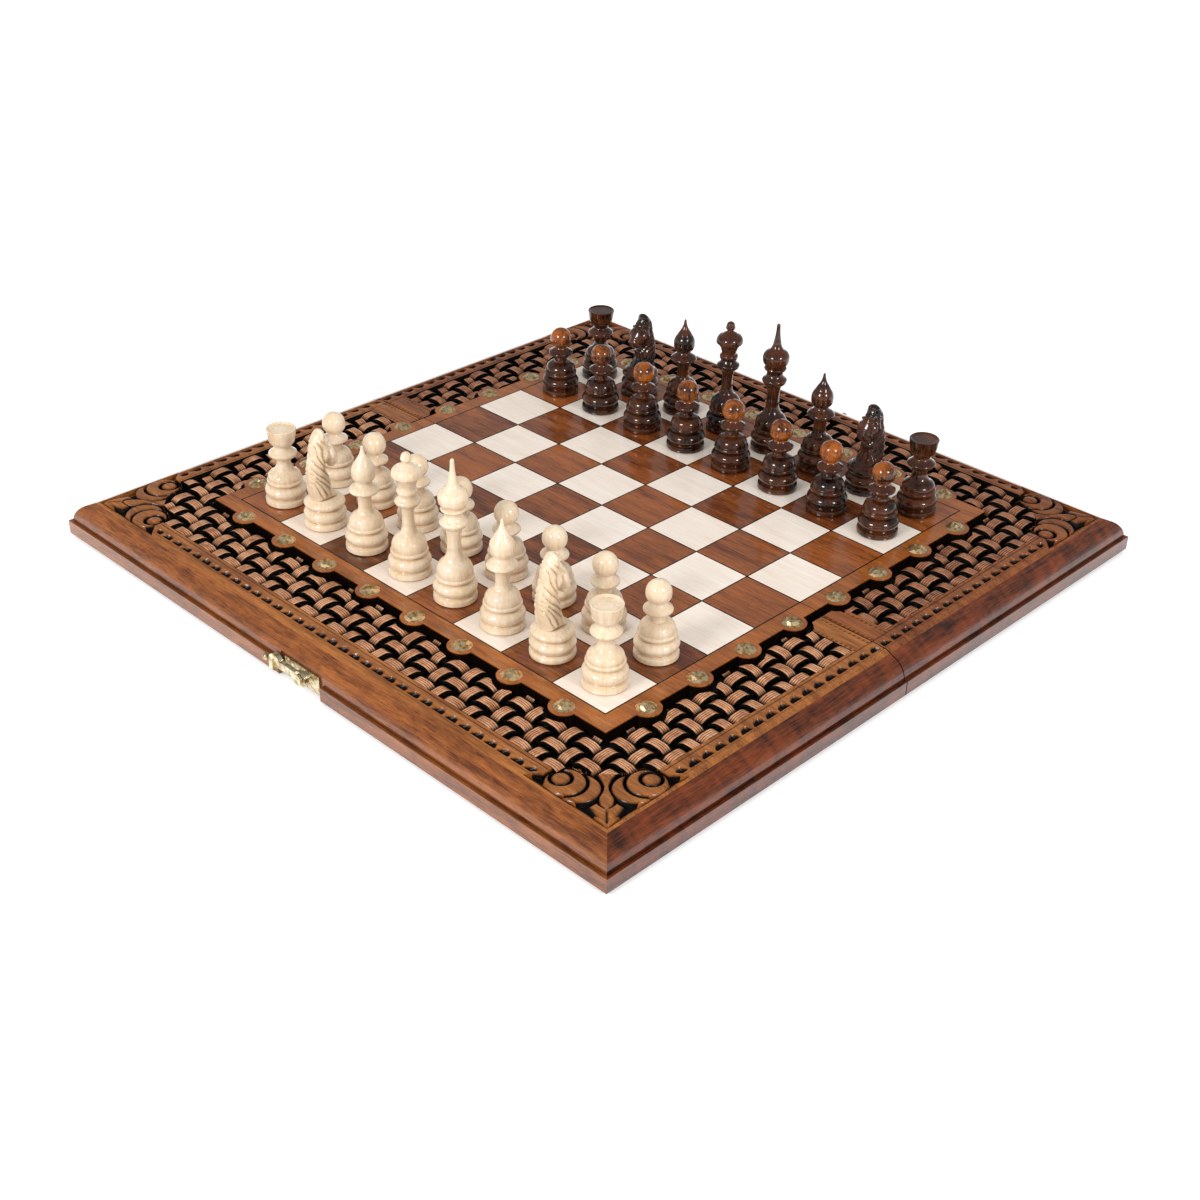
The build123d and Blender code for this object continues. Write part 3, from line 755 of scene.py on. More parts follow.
@dataclass(frozen=True)
class BoardSizes:
    """Sizes of the board, read from the frame where it holds them, in millimetres."""

    square: float = 42.0
    lobe_radius: float = 9.0
    stud_offset: float = 11.0
    strip_width: float = 12.0
    window_half: float = 220.5
    bridge_width: float = 16.5
    bridge_inner: float = 185.0
    bridge_cove: float = 13.0
    slope_half: float = 231.6
    slope: float = 3.4 / 7.8
    ground_half: float = 234.2
    ground_start: float = 288.0
    scroll: Triple = (192.7, 222.9, 11.4)
    leaf: Triple = (201.0, 221.4, 12.3)
    scroll_gap: float = 0.8
    weave_line: float = 203.5
    weave_spaces: int = 31

    @property
    def field_half(self) -> float:
        """Half the width of the eight squares."""
        return 4 * self.square

    @property
    def strip_half(self) -> float:
        """Centre of the board to the straight edge of the field board."""
        return self.field_half + self.strip_width

    @property
    def stud_line(self) -> float:
        """Centre of the board to the line of the studs."""
        return self.field_half + self.stud_offset

    @property
    def panel_half(self) -> float:
        """Centre of the board to the outer edge of the carved border."""
        return box_mm("white_half_carved_border")[1].x

    @property
    def seam(self) -> float:
        """Half the gap between the two halves."""
        return -box_mm("white_half_carved_border")[1].y

    @property
    def top(self) -> float:
        """Height of the playing surface."""
        return box_mm("white_half_field_board")[1].z

    @property
    def border_top(self) -> float:
        """Height of the flat band of the border."""
        return box_mm("white_half_carved_border")[1].z

    @property
    def deck(self) -> float:
        """Height of the black recess under the weave."""
        return box_mm("white_half_field_board")[0].z

    @property
    def pitch(self) -> float:
        """Spacing of the strands."""
        return 2 * self.weave_line / self.weave_spaces


SIZES = BoardSizes()


def box_distance(x: Array, y: Array, half_x: float, half_y: float) -> Array:
    """Signed distance to a centred rectangle, negative inside.

    Args:
        x: Places along X.
        y: Places along Y.
        half_x: Half its size along X.
        half_y: Half its size along Y.

    Returns:
        Distances in millimetres.
    """
    qx, qy = np.abs(x) - half_x, np.abs(y) - half_y
    outside = np.hypot(np.maximum(qx, 0), np.maximum(qy, 0))
    return outside + np.minimum(np.maximum(qx, qy), 0)


def scallop_distance(x: Array, y: Array) -> Array:
    """Signed distance to the scalloped outline of the field board, negative inside.

    Args:
        x: Places along X.
        y: Places along Y.

    Returns:
        Distances in millimetres.
    """
    strip = box_distance(x, y, SIZES.strip_half, SIZES.strip_half)
    limit = SIZES.field_half - SIZES.square / 2

    def to_lobe(along: Array, across: Array) -> Array:
        """Distance to the nearest lobe of one edge.

        Args:
            along: Places along the edge.
            across: Places across it.

        Returns:
            Distances in millimetres.
        """
        nearest = (np.floor(along / SIZES.square) + 0.5) * SIZES.square
        nearest = np.clip(nearest, -limit, limit)
        return np.hypot(along - nearest, np.abs(across) - SIZES.stud_line) - SIZES.lobe_radius

    return np.minimum(strip, np.minimum(to_lobe(x, y), to_lobe(y, x)))


def disc_distance(x: Array, y: Array, disc: Triple) -> Array:
    """Signed distance to a disc given by its centre and radius, negative inside."""
    return np.hypot(x - disc[0], y - disc[1]) - disc[2]


def corner_distance(x: Array, y: Array) -> Array:
    """Signed distance to the carved ground at the corners of the border, negative inside.

    Args:
        x: Places along X.
        y: Places along Y.

    Returns:
        Distances in millimetres.
    """
    ax, ay = np.abs(x), np.abs(y)
    nearest = SIZES.ground_start - (ax + ay) / math.sqrt(2)
    for px, py in ((ax, ay), (ay, ax)):
        for disc in (SIZES.scroll, SIZES.leaf):
            nearest = np.minimum(nearest, disc_distance(px, py, disc) - SIZES.scroll_gap)
    return np.maximum(nearest, np.maximum(ax, ay) - SIZES.ground_half)


def smoothstep(value: Array, low: float, high: float) -> Array:
    """Smooth rise from 0 at low to 1 at high."""
    t = np.clip((value - low) / (high - low), 0, 1)
    return t * t * (3 - 2 * t)


def gradient(distance: Distance, x: Array, y: Array, small: float) -> tuple[Array, Array, Array]:
    """A signed distance and the way that leads away from its outline.

    Args:
        distance: Function of places along two axes.
        x: Places along the first axis.
        y: Places along the second axis.
        small: Step for the slopes.

    Returns:
        The distance and its slopes along both axes.
    """
    away = distance(x, y)
    return away, (distance(x + small, y) - away) / small, (distance(x, y + small) - away) / small


def drawn_to_edge(
    distance: Distance, x: Array, y: Array, reach: float, small: float
) -> tuple[Array, Array, Array]:
    """Move the grid points that lie close to an outline onto it.

    Args:
        distance: Signed distance to the outline.
        x: Places along the first axis.
        y: Places along the second axis.
        reach: How close a point lies that moves.
        small: Step for the slopes.

    Returns:
        The distances before the move and the moved places.
    """
    away, gx, gy = gradient(distance, x, y, small)
    pull = np.where(np.abs(away) < reach, -away, 0.0)
    return away, x + gx * pull, y + gy * pull


@dataclass
class StrandRibbon:
    """Cross-section of one carved strand: four ribs with three grooves, and stained upright sides."""

    half_width: float = 3.0
    thickness: float = 2.2
    groove: float = 0.7
    grooves: tuple[float, ...] = (-0.5, 0.0, 0.5)
    groove_half: float = 0.08
    rib_edge: float = 0.9
    rib_drop: float = 0.25

    def section(self) -> list[Pair]:
        """Points across the strand, from the underside up and over to the underside again.

        Returns:
            Shares of the half width, with heights in millimetres.
        """
        across = [(-1.0, -self.thickness), (-1.0, -self.rib_drop), (-self.rib_edge, 0.0)]
        for middle in self.grooves:
            low, high = middle - self.groove_half, middle + self.groove_half
            across += [(low, 0.0), (middle, -self.groove), (high, 0.0)]
        return across + [(self.rib_edge, 0.0), (1.0, -self.rib_drop), (1.0, -self.thickness)]

    def offsets(self) -> tuple[Array, Array]:
        """Across and height offsets of the section's points in millimetres."""
        section = np.array(self.section())
        return section[:, 0] * self.half_width, section[:, 1]

    def stained(self) -> list[bool]:
        """Which sides of the section are stained: both uprights and the underside."""
        count = len(self.section())
        return [k in (0, count - 2, count - 1) for k in range(count)]


@dataclass
class BasketWeave:
    """Carved basket weave in the sunk windows of one half's border."""

    side: Side
    crest: float = 0.35
    trough: float = 4.4
    flatness: float = 0.15
    channel: float = 5.0
    step: float = 1.0
    gap: float = 2.6
    tuck: float = 0.2
    end_tuck: float = 0.3
    corner_channel: float = 3.0
    corner_tuck: float = 0.6
    least_share: float = 0.35
    shortest: int = 3
    push_gaps: float = 2.5
    wobble: float = 0.125
    wobble_waves: Pair = (0.37, 0.113)
    wobble_shift: float = 5.1
    # The dark half's colours are darker: painted shade, as that half lies farther from the lamps.
    shades: dict[Side, tuple[str, str, str]] = field(default_factory=lambda: {
        Side.WHITE: ("#dba27a", "#9c623e", "#3a1a0a"),
        Side.DARK: ("#b67b58", "#74432b", "#2a1208"),
    })
    ribbon: StrandRibbon = field(default_factory=StrandRibbon)
    seconds: list[bool] = field(default_factory=list)

    def lines(self, limit: float) -> Array:
        """Centre lines of the strands, from the outer edge up to a limit.

        Args:
            limit: Farthest place of a line.

        Returns:
            Places of the lines.
        """
        start = -SIZES.weave_line - SIZES.pitch
        count = int((limit - start) / SIZES.pitch) + 1
        return start + np.arange(count) * SIZES.pitch

    def open_share(self, x: Array, y: Array) -> Array:
        """Whether points lie in the open window, clear of the field board and the carved corners.

        Args:
            x: Places along X.
            y: Places along Y.

        Returns:
            True where the weave can lie.
        """
        low_x, high_x, outer_y = self.margins()
        inside = (x > low_x - SIZES.window_half) & (x < SIZES.window_half - high_x)
        inside &= (y > outer_y - SIZES.window_half) & (y < self.tuck - SIZES.bridge_width)
        far = np.where(x < 0, low_x, high_x) > 0
        at_corner = corner_distance(x, y) > np.where(far, self.corner_channel, -self.corner_tuck)
        return inside & at_corner & (scallop_distance(x, y) > self.gap)

    def margins(self) -> Triple:
        """Channel left along the walls at low x, high x and the outer edge, in the white half's places.

        The carving stops short of the board's left and back walls and runs up to the two others.

        Returns:
            The three widths, negative where the strands tuck under the wall.
        """
        if self.side is Side.WHITE:
            return self.channel, -self.tuck, -self.tuck
        return -self.tuck, self.channel, self.channel

    def height(self, along: Array, phase: int, seed: float) -> Array:
        """Height of a strand's ribs along it, with the carver's small unevenness.

        Args:
            along: Places along the strand.
            phase: 0 or 1, which crossings it passes over.
            seed: Number that tells its unevenness from the others'.

        Returns:
            Heights, flat over the crossings and steep between them.
        """
        turns = (along + SIZES.weave_line + SIZES.pitch) / SIZES.pitch + phase
        middle = SIZES.border_top - (self.crest + self.trough) / 2
        rise = (self.trough - self.crest) / 2
        wave = np.cos(math.pi * turns)
        wave += self.flatness * (1 - wave**2)
        fast, slow = self.wobble_waves
        uneven = self.wobble * np.sin(along * fast + seed * self.wobble_shift) * np.sin(along * slow + seed)
        return middle + rise * (3 * wave - wave**3) / 2 + uneven

    def strand(self, fixed: float, runs_x: bool, phase: int) -> tuple[list[Array], Faces]:
        """Ribbons of one strand, broken where the field board or the corners interrupt it.

        Args:
            fixed: Place of the strand's centre line across its run.
            runs_x: Whether it runs along X.
            phase: 0 or 1, which crossings it passes over.

        Returns:
            Point blocks and faces, numbered within the strand.
        """
        low = -SIZES.window_half - self.end_tuck
        high = (SIZES.window_half if runs_x else -SIZES.bridge_width) + self.end_tuck
        along = np.arange(low, high, self.step)
        across, drop = self.ribbon.offsets()
        wide = fixed + across[None, :] + 0 * along[:, None]
        long = along[:, None] + 0 * wide
        x, y = (long, wide) if runs_x else (wide, long)
        keep = self.open_share(x, y).mean(axis=1) >= self.least_share
        x, y = self.pushed_clear(x, y)
        z = self.height(along, phase, fixed)[:, None] + drop[None, :]
        blocks: list[Array] = []
        faces: Faces = []
        total = 0
        for start, stop in self.runs(keep):
            block = np.stack([x[start:stop], y[start:stop], z[start:stop]], axis=-1)
            faces += ribbon_faces(stop - start, len(across), total)
            self.seconds += self.ribbon.stained() * (stop - start - 1) + [True, True]
            blocks.append(block.reshape(-1, 3))
            total += block.shape[0] * block.shape[1]
        return blocks, faces

    def pushed_clear(self, x: Array, y: Array) -> tuple[Array, Array]:
        """Move points that come too near the field board out to the gap's edge.

        Args:
            x: Places along X.
            y: Places along Y.

        Returns:
            The moved places.
        """
        away, gx, gy = gradient(scallop_distance, x, y, self.step / 20)
        push = np.clip(self.gap - away, 0, self.push_gaps * self.gap)
        return x + gx * push, y + gy * push

    def runs(self, keep: Array) -> list[tuple[int, int]]:
        """Stretches of kept samples that are long enough to carve.

        Args:
            keep: Which samples are kept.

        Returns:
            The first sample and the one after the last of each stretch.
        """
        marks = np.flatnonzero(np.diff(np.concatenate([[0], keep.astype(int), [0]])))
        pairs = list(zip(marks[::2], marks[1::2]))
        return [(int(a), int(b)) for a, b in pairs if b - a >= self.shortest]

    def build(self) -> bpy.types.Object:
        """Make the weave of the half as one piece.

        Returns:
            The woven piece.
        """
        blocks: list[Array] = []
        faces: Faces = []
        total = 0
        for runs_x in (True, False):
            lines = self.lines(-SIZES.bridge_width if runs_x else SIZES.window_half)
            for number, fixed in enumerate(lines):
                made, strand_faces = self.strand(float(fixed), runs_x, number if runs_x else number + 1)
                faces += [[index + total for index in face] for face in strand_faces]
                blocks += made
                total += sum(len(block) for block in made)
        points = turned_points(np.concatenate(blocks), self.side)
        # Woven wood: black stain with painted shade growing with depth below the crests, and painted shade
        # in the creases.
        material = PALETTE.finish(
            LacqueredWood(f"{self.side.word}_woven_walnut", *self.shades[self.side], Grain.ALONG_X,
                          figure_mm=14.0, streak_mm=3.0, stretch=2.0, pore_amount=0.35, gloss=0.8,
                          gloss_roughness=0.16, stain_below_mm=SIZES.border_top - 1.0, stain_fade_mm=1.7,
                          crease_mm=1.6)
        )
        return make_piece(
            self.side.node("basket_weave"), points, faces, material, self.side.body, "walnut_case",
            sharp=30, second=PALETTE.black(), seconds=self.seconds,
        )


def ribbon_faces(count: int, around: int, start: int) -> Faces:
    """Faces of a closed tube of cross-sections with flat ends.

    Args:
        count: Number of cross-sections.
        around: Points in each.
        start: Number of the first point.

    Returns:
        The faces.
    """
    faces = []
    for i in range(count - 1):
        for j in range(around):
            a = start + i * around + j
            b = start + i * around + (j + 1) % around
            faces.append([a, b, b + around, a + around])
    faces.append([start + j for j in range(around)][::-1])
    last = start + (count - 1) * around
    faces.append([last + j for j in range(around)])
    return faces


@dataclass
class CornerScroll:
    """Heights of the carving at a corner: two balls in nested crescents, a stem and a two-petalled bud."""

    depth: float = 4.2
    base_share: float = 0.3
    ball: Triple = (188.6, 222.0, 5.6)
    gap: float = 0.8
    ring_roll: float = 2.5
    ring_share: float = 0.97
    lip_roll: float = 2.0
    lip_share: float = 0.85
    stem_neck: float = 297.5
    stem_half: float = 2.0
    stem_flare: float = 0.03
    stem_slant: float = 0.9
    stem_roll: float = 3.0
    stem_gap: float = 0.9
    drop_end: float = 316.0
    drop_half: float = 4.2
    drop_swell: float = 2.2
    petal_start: float = 301.6
    petal_wide: float = 314.0
    petal_tip: float = 332.0
    petal_half: float = 9.6
    petal_rise: float = 1.4
    petal_fall: float = 0.9
    petal_slant: float = 0.8
    petal_roll: float = 4.5
    petal_share: float = 0.95
    crease_depth: float = 1.5
    crease_half: float = 0.8
    crease_run: Pair = (315.0, 319.0)

    def ridge(self, distance: Array, roundness: float, share: float = 1.0) -> Array:
        """Rounded relief that rises from an outline.

        Args:
            distance: Signed distance to the outline, negative inside.
            roundness: How far inside it reaches its full height.
            share: Its height as a share of the carving's depth.

        Returns:
            Heights over the ground, negative outside.
        """
        t = np.clip(-distance / roundness, 0, 1)
        swell = self.base_share + (1 - self.base_share) * np.sqrt(1 - (1 - t) ** 2)
        return np.where(distance < 0, self.depth * share * swell, -1.0)

    def petals(self, along: Array, across: Array) -> Array:
        """Signed distance to the bud: widest in the middle, with a point at each side and at its tip.

        Args:
            along: Places along the corner's diagonal.
            across: Distances from it.

        Returns:
            Distances in millimetres.
        """
        rising = np.clip((along - self.petal_start) / (self.petal_wide - self.petal_start), 0, 1)
        falling = np.clip((self.petal_tip - along) / (self.petal_tip - self.petal_wide), 0, 1)
        half = self.petal_half * np.minimum(rising**self.petal_rise, falling**self.petal_fall)
        inside = (along > self.petal_start) & (along < self.petal_tip)
        return np.where(inside, self.petal_slant * (across - half), FAR)

    def stem(self, along: Array, across: Array) -> Array:
        """Signed distance to the stem: flared at its start, narrow at its neck, ending in a drop.

        Args:
            along: Places along the corner's diagonal.
            across: Distances from it.

        Returns:
            Distances in millimetres.
        """
        before = self.stem_half + self.stem_flare * (along - self.stem_neck) ** 2
        share = np.clip((along - self.stem_neck) / (self.drop_end - self.stem_neck), 0, 1)
        drop = self.drop_half * np.sqrt(1 - share) * share * self.drop_swell
        half = np.where(along < self.stem_neck, before, self.stem_half * (1 - share) + drop)
        inside = (along > SIZES.ground_start) & (along < self.drop_end)
        return np.where(inside, self.stem_slant * (across - half), FAR)

    def heights(self, x: Array, y: Array) -> Array:
        """Height relative to the flat top, zero away from the carving.

        Args:
            x: Places along X.
            y: Places along Y.

        Returns:
            Heights in millimetres.
        """
        x, y = np.abs(x), np.abs(y)
        along, across = (x + y) / math.sqrt(2), np.abs(x - y) / math.sqrt(2)
        height = np.full(x.shape, -1.0)
        clear = np.ones(x.shape, dtype=bool)
        for px, py in ((x, y), (y, x)):
            ball = disc_distance(px, py, self.ball)
            scroll = disc_distance(px, py, SIZES.scroll)
            leaf = disc_distance(px, py, SIZES.leaf)
            lip = self.ridge(np.maximum(leaf, self.gap - scroll), self.lip_roll, self.lip_share)
            ring = self.ridge(np.maximum(scroll, self.gap - ball), self.ring_roll, self.ring_share)
            height = np.where(scroll < self.gap, -1.0, np.maximum(height, lip))
            height = np.maximum(height, np.where(ball < self.gap, -1.0, ring))
            height = np.maximum(height, self.ridge(ball, self.ball[2]))
            clear &= np.minimum(leaf, scroll) > self.gap
        crease = self.crease_depth * np.exp(-((across / self.crease_half) ** 2))
        crease *= smoothstep(along, *self.crease_run)
        bud = self.ridge(self.petals(along, across), self.petal_roll, self.petal_share) - crease
        stem_away = self.stem(along, across)
        bud = np.where(stem_away < self.stem_gap, -1.0, bud)
        middle = np.maximum(bud, self.ridge(stem_away, self.stem_roll))
        height = np.where(clear, np.maximum(height, middle), height)
        carved = np.where(height > 0, height, 0.0) - self.depth
        return np.where(corner_distance(x, y) < 0, carved, 0.0)


@dataclass
class CarvedBand:
    """Flat band of one half's border with its grooves, gouged fins, bridges and corner scrolls."""

    side: Side
    step: float = 0.55
    groove_lines: Pair = (222.2, 231.4)
    groove_depth: float = 0.9
    groove_half: float = 0.45
    cove_line: float = 229.6
    cove_half: float = 1.6
    cove_depth: float = 0.5
    fin_line: float = 229.9
    fin_pitch: float = 10.5
    fin_half: float = 4.2
    fin_reach: float = 5.4
    fin_depth: float = 3.4
    fin_lean: float = 0.2
    fin_steepness: float = 0.35
    fin_edges: Pair = (-0.5, 0.3)
    fin_tip: float = 0.25
    scroll_margin: Pair = (2.0, 4.0)
    seam_margin: Pair = (1.5, 3.5)
    bridge_margin: Pair = (2.0, 1.0)
    bead_lines: Pair = (2.2, 14.4)
    bead_half: float = 0.8
    bead_depth: float = 1.5
    bead_pitch: float = 3.4
    bead_wave: float = 0.45
    ground_ease: float = 1.2
    edge_share: float = 0.55
    # Painted shade with the stain: darkening starts this far below the top and fades in over this distance;
    # faces deeper than the depth take the black stain, which also paints the shade of the cuts.
    stained_from: float = 0.55
    stained_fade: float = 1.2
    stained_depth: float = 2.7
    stained_inset: float = 0.6
    slope_step: float = 0.02
    # The dark half's colours are darker: painted shade, as that half lies farther from the lamps.
    shades: dict[Side, tuple[str, str, str]] = field(default_factory=lambda: {
        Side.WHITE: ("#a86832", "#693918", "#40200c"),
        Side.DARK: ("#96562a", "#572a12", "#331708"),
    })
    scroll: CornerScroll = field(default_factory=CornerScroll)

    def window_distance(self, x: Array, y: Array) -> Array:
        """Signed distance to what the band leaves open, negative where the band is open.

        Args:
            x: Places along X.
            y: Places along Y.

        Returns:
            Distances in millimetres.
        """
        middle = (-SIZES.window_half - SIZES.bridge_width) / 2
        half = (SIZES.window_half - SIZES.bridge_width) / 2
        window = box_distance(x, y - middle, SIZES.window_half, half)
        window = np.maximum(window, -corner_distance(x, y))
        inner = box_distance(x, y, SIZES.bridge_inner, SIZES.window_half)
        cove = np.hypot(np.abs(x) - SIZES.stud_line, y + SIZES.square / 2) - SIZES.bridge_cove
        return np.minimum(window, np.minimum(inner, cove))

    def fins(self, along: Array, across: Array) -> Array:
        """Depth of the gouge marks: one fin per pitch, deepest at its straight outer side.

        Args:
            along: Places along the edge.
            across: Distances from the centre, square to the edge.

        Returns:
            Depths in millimetres.
        """
        turns = along / self.fin_pitch
        local = (turns - np.floor(turns) - 0.5) * self.fin_pitch / self.fin_half
        span = np.sqrt(np.clip(1 - local**2, 0, 1)) * (1 - self.fin_lean + self.fin_lean * local)
        inward = (self.fin_line - across) / (self.fin_reach * np.maximum(span, self.fin_tip / 5))
        slope = np.clip(1 - inward, 0, 1) ** self.fin_steepness
        outer = smoothstep(self.fin_line - across, *self.fin_edges)
        return self.fin_depth * slope * outer * smoothstep(span, 0.0, self.fin_tip)

    def bead(self, across: Array, along: Array) -> Array:
        """Depth of a row of small gouges along the edges of the bridges.

        Args:
            across: Distances from the seam.
            along: Places along the seam.

        Returns:
            Depths in millimetres.
        """
        depth = np.zeros(across.shape)
        for line in self.bead_lines:
            row = np.exp(-(((across - line) / self.bead_half) ** 2))
            wave = 1 - self.bead_wave + self.bead_wave * np.cos(2 * math.pi * along / self.bead_pitch)
            depth = np.maximum(depth, row * wave)
        return self.bead_depth * depth

    def heights(self, x: Array, y: Array) -> Array:
        """Height of the carved top relative to the flat band.

        Args:
            x: Places along X.
            y: Places along Y.

        Returns:
            Heights in millimetres.
        """
        ax, ay = np.abs(x), np.abs(y)
        reach = np.maximum(ax, ay)
        along = np.where(ax > ay, y, x)
        height = -self.cove_depth * np.exp(-(((reach - self.cove_line) / self.cove_half) ** 2))
        for line in self.groove_lines:
            height -= self.groove_depth * np.exp(-(((reach - line) / self.groove_half) ** 2))
        away = corner_distance(x, y)
        clear = smoothstep(away, *self.scroll_margin) * smoothstep(ay, *self.seam_margin)
        height -= self.fins(along, reach) * clear
        beyond, short = self.bridge_margin
        bridge = (ay < SIZES.bridge_width + beyond) & (ax < self.groove_lines[0] - short)
        height = np.where(bridge, -self.bead(ay, ax), height)
        height = np.where(away > 0, height * smoothstep(away, 0.0, self.ground_ease), 0.0)
        slope = np.maximum(reach - SIZES.slope_half, 0.0) * SIZES.slope
        return height + self.scroll.heights(x, y) - slope

    def build(self) -> bpy.types.Object:
        """Make the band as a solid with a carved top.

        Returns:
            The carved piece.
        """
        half = SIZES.panel_half
        nx = int(2 * half / self.step)
        ny = int((half - SIZES.seam) / self.step)
        xs = np.linspace(-half, half, nx + 1)
        ys = np.linspace(-half, -SIZES.seam, ny + 1)
        x, y = np.meshgrid(xs, ys, indexing="ij")
        edge = self.edge_share * self.step
        away, px, py = drawn_to_edge(self.window_distance, x, y, edge, self.slope_step)
        px, py = np.clip(px, -half, half), np.clip(py, -half, -SIZES.seam)
        pz = SIZES.border_top + self.heights(px, py)
        points, faces, walls = carved_solid(px, py, pz, away > -edge, np.full(px.shape, SIZES.deck))
        stained_half = SIZES.slope_half - self.stained_inset
        # Carved wood: black stain that deepens with depth as painted shade, and painted shade in the
        # creases.
        wood = LacqueredWood(
            f"{self.side.word}_carved_walnut", *self.shades[self.side], Grain.ALONG_X, figure_mm=8.0,
            streak_mm=1.2, pore_amount=0.45, stain_below_mm=SIZES.border_top - self.stained_from,
            stain_fade_mm=self.stained_fade, stain_reach_mm=stained_half, crease_mm=2.0, gloss=0.6,
            gloss_roughness=0.18,
        )
        # Faces of the deep cuts take the black stain, which also paints their shade.
        heights = points[np.array(faces), 2].mean(axis=1)
        reach = np.abs(points[np.array(faces), :2]).max(axis=2).mean(axis=1)
        sunk = (heights < SIZES.border_top - self.stained_depth) & (reach < stained_half)
        return make_piece(
            self.side.node("carved_band"), turned_points(points, self.side), faces, PALETTE.finish(wood),
            self.side.body, "walnut_case", [self.side.node("carved_border")], sharp=55,
            second=PALETTE.black(), seconds=(sunk | np.array(walls)).tolist(),
        )


def carved_solid(x: Array, y: Array, z: Array, keep: Array, floor: Array) -> tuple[Array, Faces, list[bool]]:
    """Close a grid of carved heights into a solid with upright sides and an underside.

    Args:
        x: Grid of places along X.
        y: Grid of places along Y.
        z: Grid of heights.
        keep: Which grid points belong to the piece.
        floor: Grid of heights of the underside.

    Returns:
        Points and faces, and whether each face is one of the upright sides.
    """
    cells = keep[:-1, :-1] & keep[1:, :-1] & keep[:-1, 1:] & keep[1:, 1:]
    number = np.arange(x.size).reshape(x.shape)
    quads = np.stack([
        number[:-1, :-1][cells], number[1:, :-1][cells], number[1:, 1:][cells], number[:-1, 1:][cells],
    ], axis=1)
    used = np.unique(quads)
    back = np.full(x.size, -1)
    back[used] = np.arange(len(used))
    quads = back[quads]
    top = np.stack([x.ravel()[used], y.ravel()[used], z.ravel()[used]], axis=1)
    under = top.copy()
    under[:, 2] = floor.ravel()[used]
    count = len(used)
    edges = np.concatenate([quads[:, [k, (k + 1) % 4]] for k in range(4)])
    low, high = edges.min(axis=1), edges.max(axis=1)
    keys = low.astype(np.int64) * count + high
    _, first, times = np.unique(keys, return_index=True, return_counts=True)
    rim = edges[first[times == 1]]
    walls = np.stack([rim[:, 1], rim[:, 0], rim[:, 0] + count, rim[:, 1] + count], axis=1)
    faces = np.concatenate([quads, walls, quads[:, ::-1] + count])
    upright = [False] * len(quads) + [True] * len(walls) + [False] * len(quads)
    return np.concatenate([top, under]), faces.tolist(), upright


@dataclass
class HammeredStuds:
    """Domed brass nails with a hammered, faceted head."""

    side: Side
    radius: float = 6.4
    height: float = 3.2
    rings: int = 4
    around: int = 10
    crown: float = 0.6
    dent: float = 1.1
    rise: float = 0.1
    seeds: dict[Side, int] = field(default_factory=lambda: {Side.WHITE: 11, Side.DARK: 12})

    def dome(self, centre: Pair, chance: np.random.Generator) -> tuple[Array, Faces]:
        """One head, resting on the playing surface.

        Args:
            centre: Place of the stud.
            chance: Seeded source of the dents.

        Returns:
            Points and faces.
        """
        sphere = (self.radius**2 + self.height**2) / (2 * self.height)
        points = []
        for ring in range(self.rings + 1):
            share = 1 - ring / (self.rings + self.crown)
            radius = self.radius * share
            lift = math.sqrt(sphere**2 - radius**2) - (sphere - self.height)
            for k in range(self.around):
                angle = 2 * math.pi * (k + 0.5 * (ring % 2)) / self.around
                dent = 0.0 if ring == 0 else float(chance.uniform(-self.dent, self.rise))
                points.append((
                    centre[0] + radius * math.cos(angle), centre[1] + radius * math.sin(angle),
                    SIZES.top + lift + dent,
                ))
        return np.array(points), ribbon_faces(self.rings + 1, self.around, 0)

    def places(self) -> list[Pair]:
        """Centres of the studs of the white half.

        Returns:
            Places along X and Y.
        """
        step, line = SIZES.square, SIZES.stud_line
        front = [((k + 0.5) * step, -line) for k in range(-4, 4)]
        sides = [(sign * line, -(k + 0.5) * step) for sign in (-1, 1) for k in range(4)]
        return front + sides

    def build(self) -> bpy.types.Object:
        """Make the studs of the half as one piece.

        Returns:
            The studs.
        """
        chance = np.random.default_rng(self.seeds[self.side])
        blocks, faces, total = [], [], 0
        for place in self.places():
            points, made = self.dome(place, chance)
            faces += [[index + total for index in face] for face in made]
            blocks.append(points)
            total += len(points)
        brass = PALETTE.finish(PolishedBrass("hammered_brass", shade="#b3843f", mark_mm=2.2, roughness=0.32))
        points = turned_points(np.concatenate(blocks), self.side)
        return make_piece(
            self.side.node("hammered_studs"), points, faces, brass, self.side.body, "brass",
            [self.side.node("studs")], sharp=14,
        )


def swelling_points(steps: Sequence[Triple], spacing: float = 0.8) -> list[Pair]:
    """Points along straight and swelling steps.

    Args:
        steps: First axis, second axis and how far the arc up to that point swells to the right of its way.
        spacing: Distance between points on an arc in millimetres.

    Returns:
        The points, from the first step to the last.
    """
    points = [steps[0][:2]]
    for (x0, y0, _), (x1, y1, bulge) in zip(steps, steps[1:]):
        run, rise = x1 - x0, y1 - y0
        count = max(1, int(math.hypot(run, rise) / spacing)) if bulge else 1
        for k in range(1, count + 1):
            share = k / count
            lift = 4 * share * (1 - share) * bulge / math.hypot(run, rise)
            points.append((x0 + run * share + rise * lift, y0 + rise * share - run * lift))
    return points


def polygon_distance(x: Array, y: Array, outline: Sequence[Pair]) -> Array:
    """Signed distance to a closed outline, negative inside.

    Args:
        x: Places along the first axis.
        y: Places along the second axis.
        outline: Corners of the outline.

    Returns:
        Distances in millimetres.
    """
    nearest = np.full(x.shape, np.inf)
    inside = np.zeros(x.shape, dtype=bool)
    for (x0, y0), (x1, y1) in zip(outline, [*outline[1:], outline[0]]):
        run, rise = x1 - x0, y1 - y0
        share = np.clip(((x - x0) * run + (y - y0) * rise) / (run**2 + rise**2), 0, 1)
        nearest = np.minimum(nearest, np.hypot(x - x0 - share * run, y - y0 - share * rise))
        if rise:
            crosses = ((y0 > y) != (y1 > y)) & (x < x0 + (y - y0) * run / rise)
            inside ^= crosses
    return np.where(inside, -nearest, nearest)


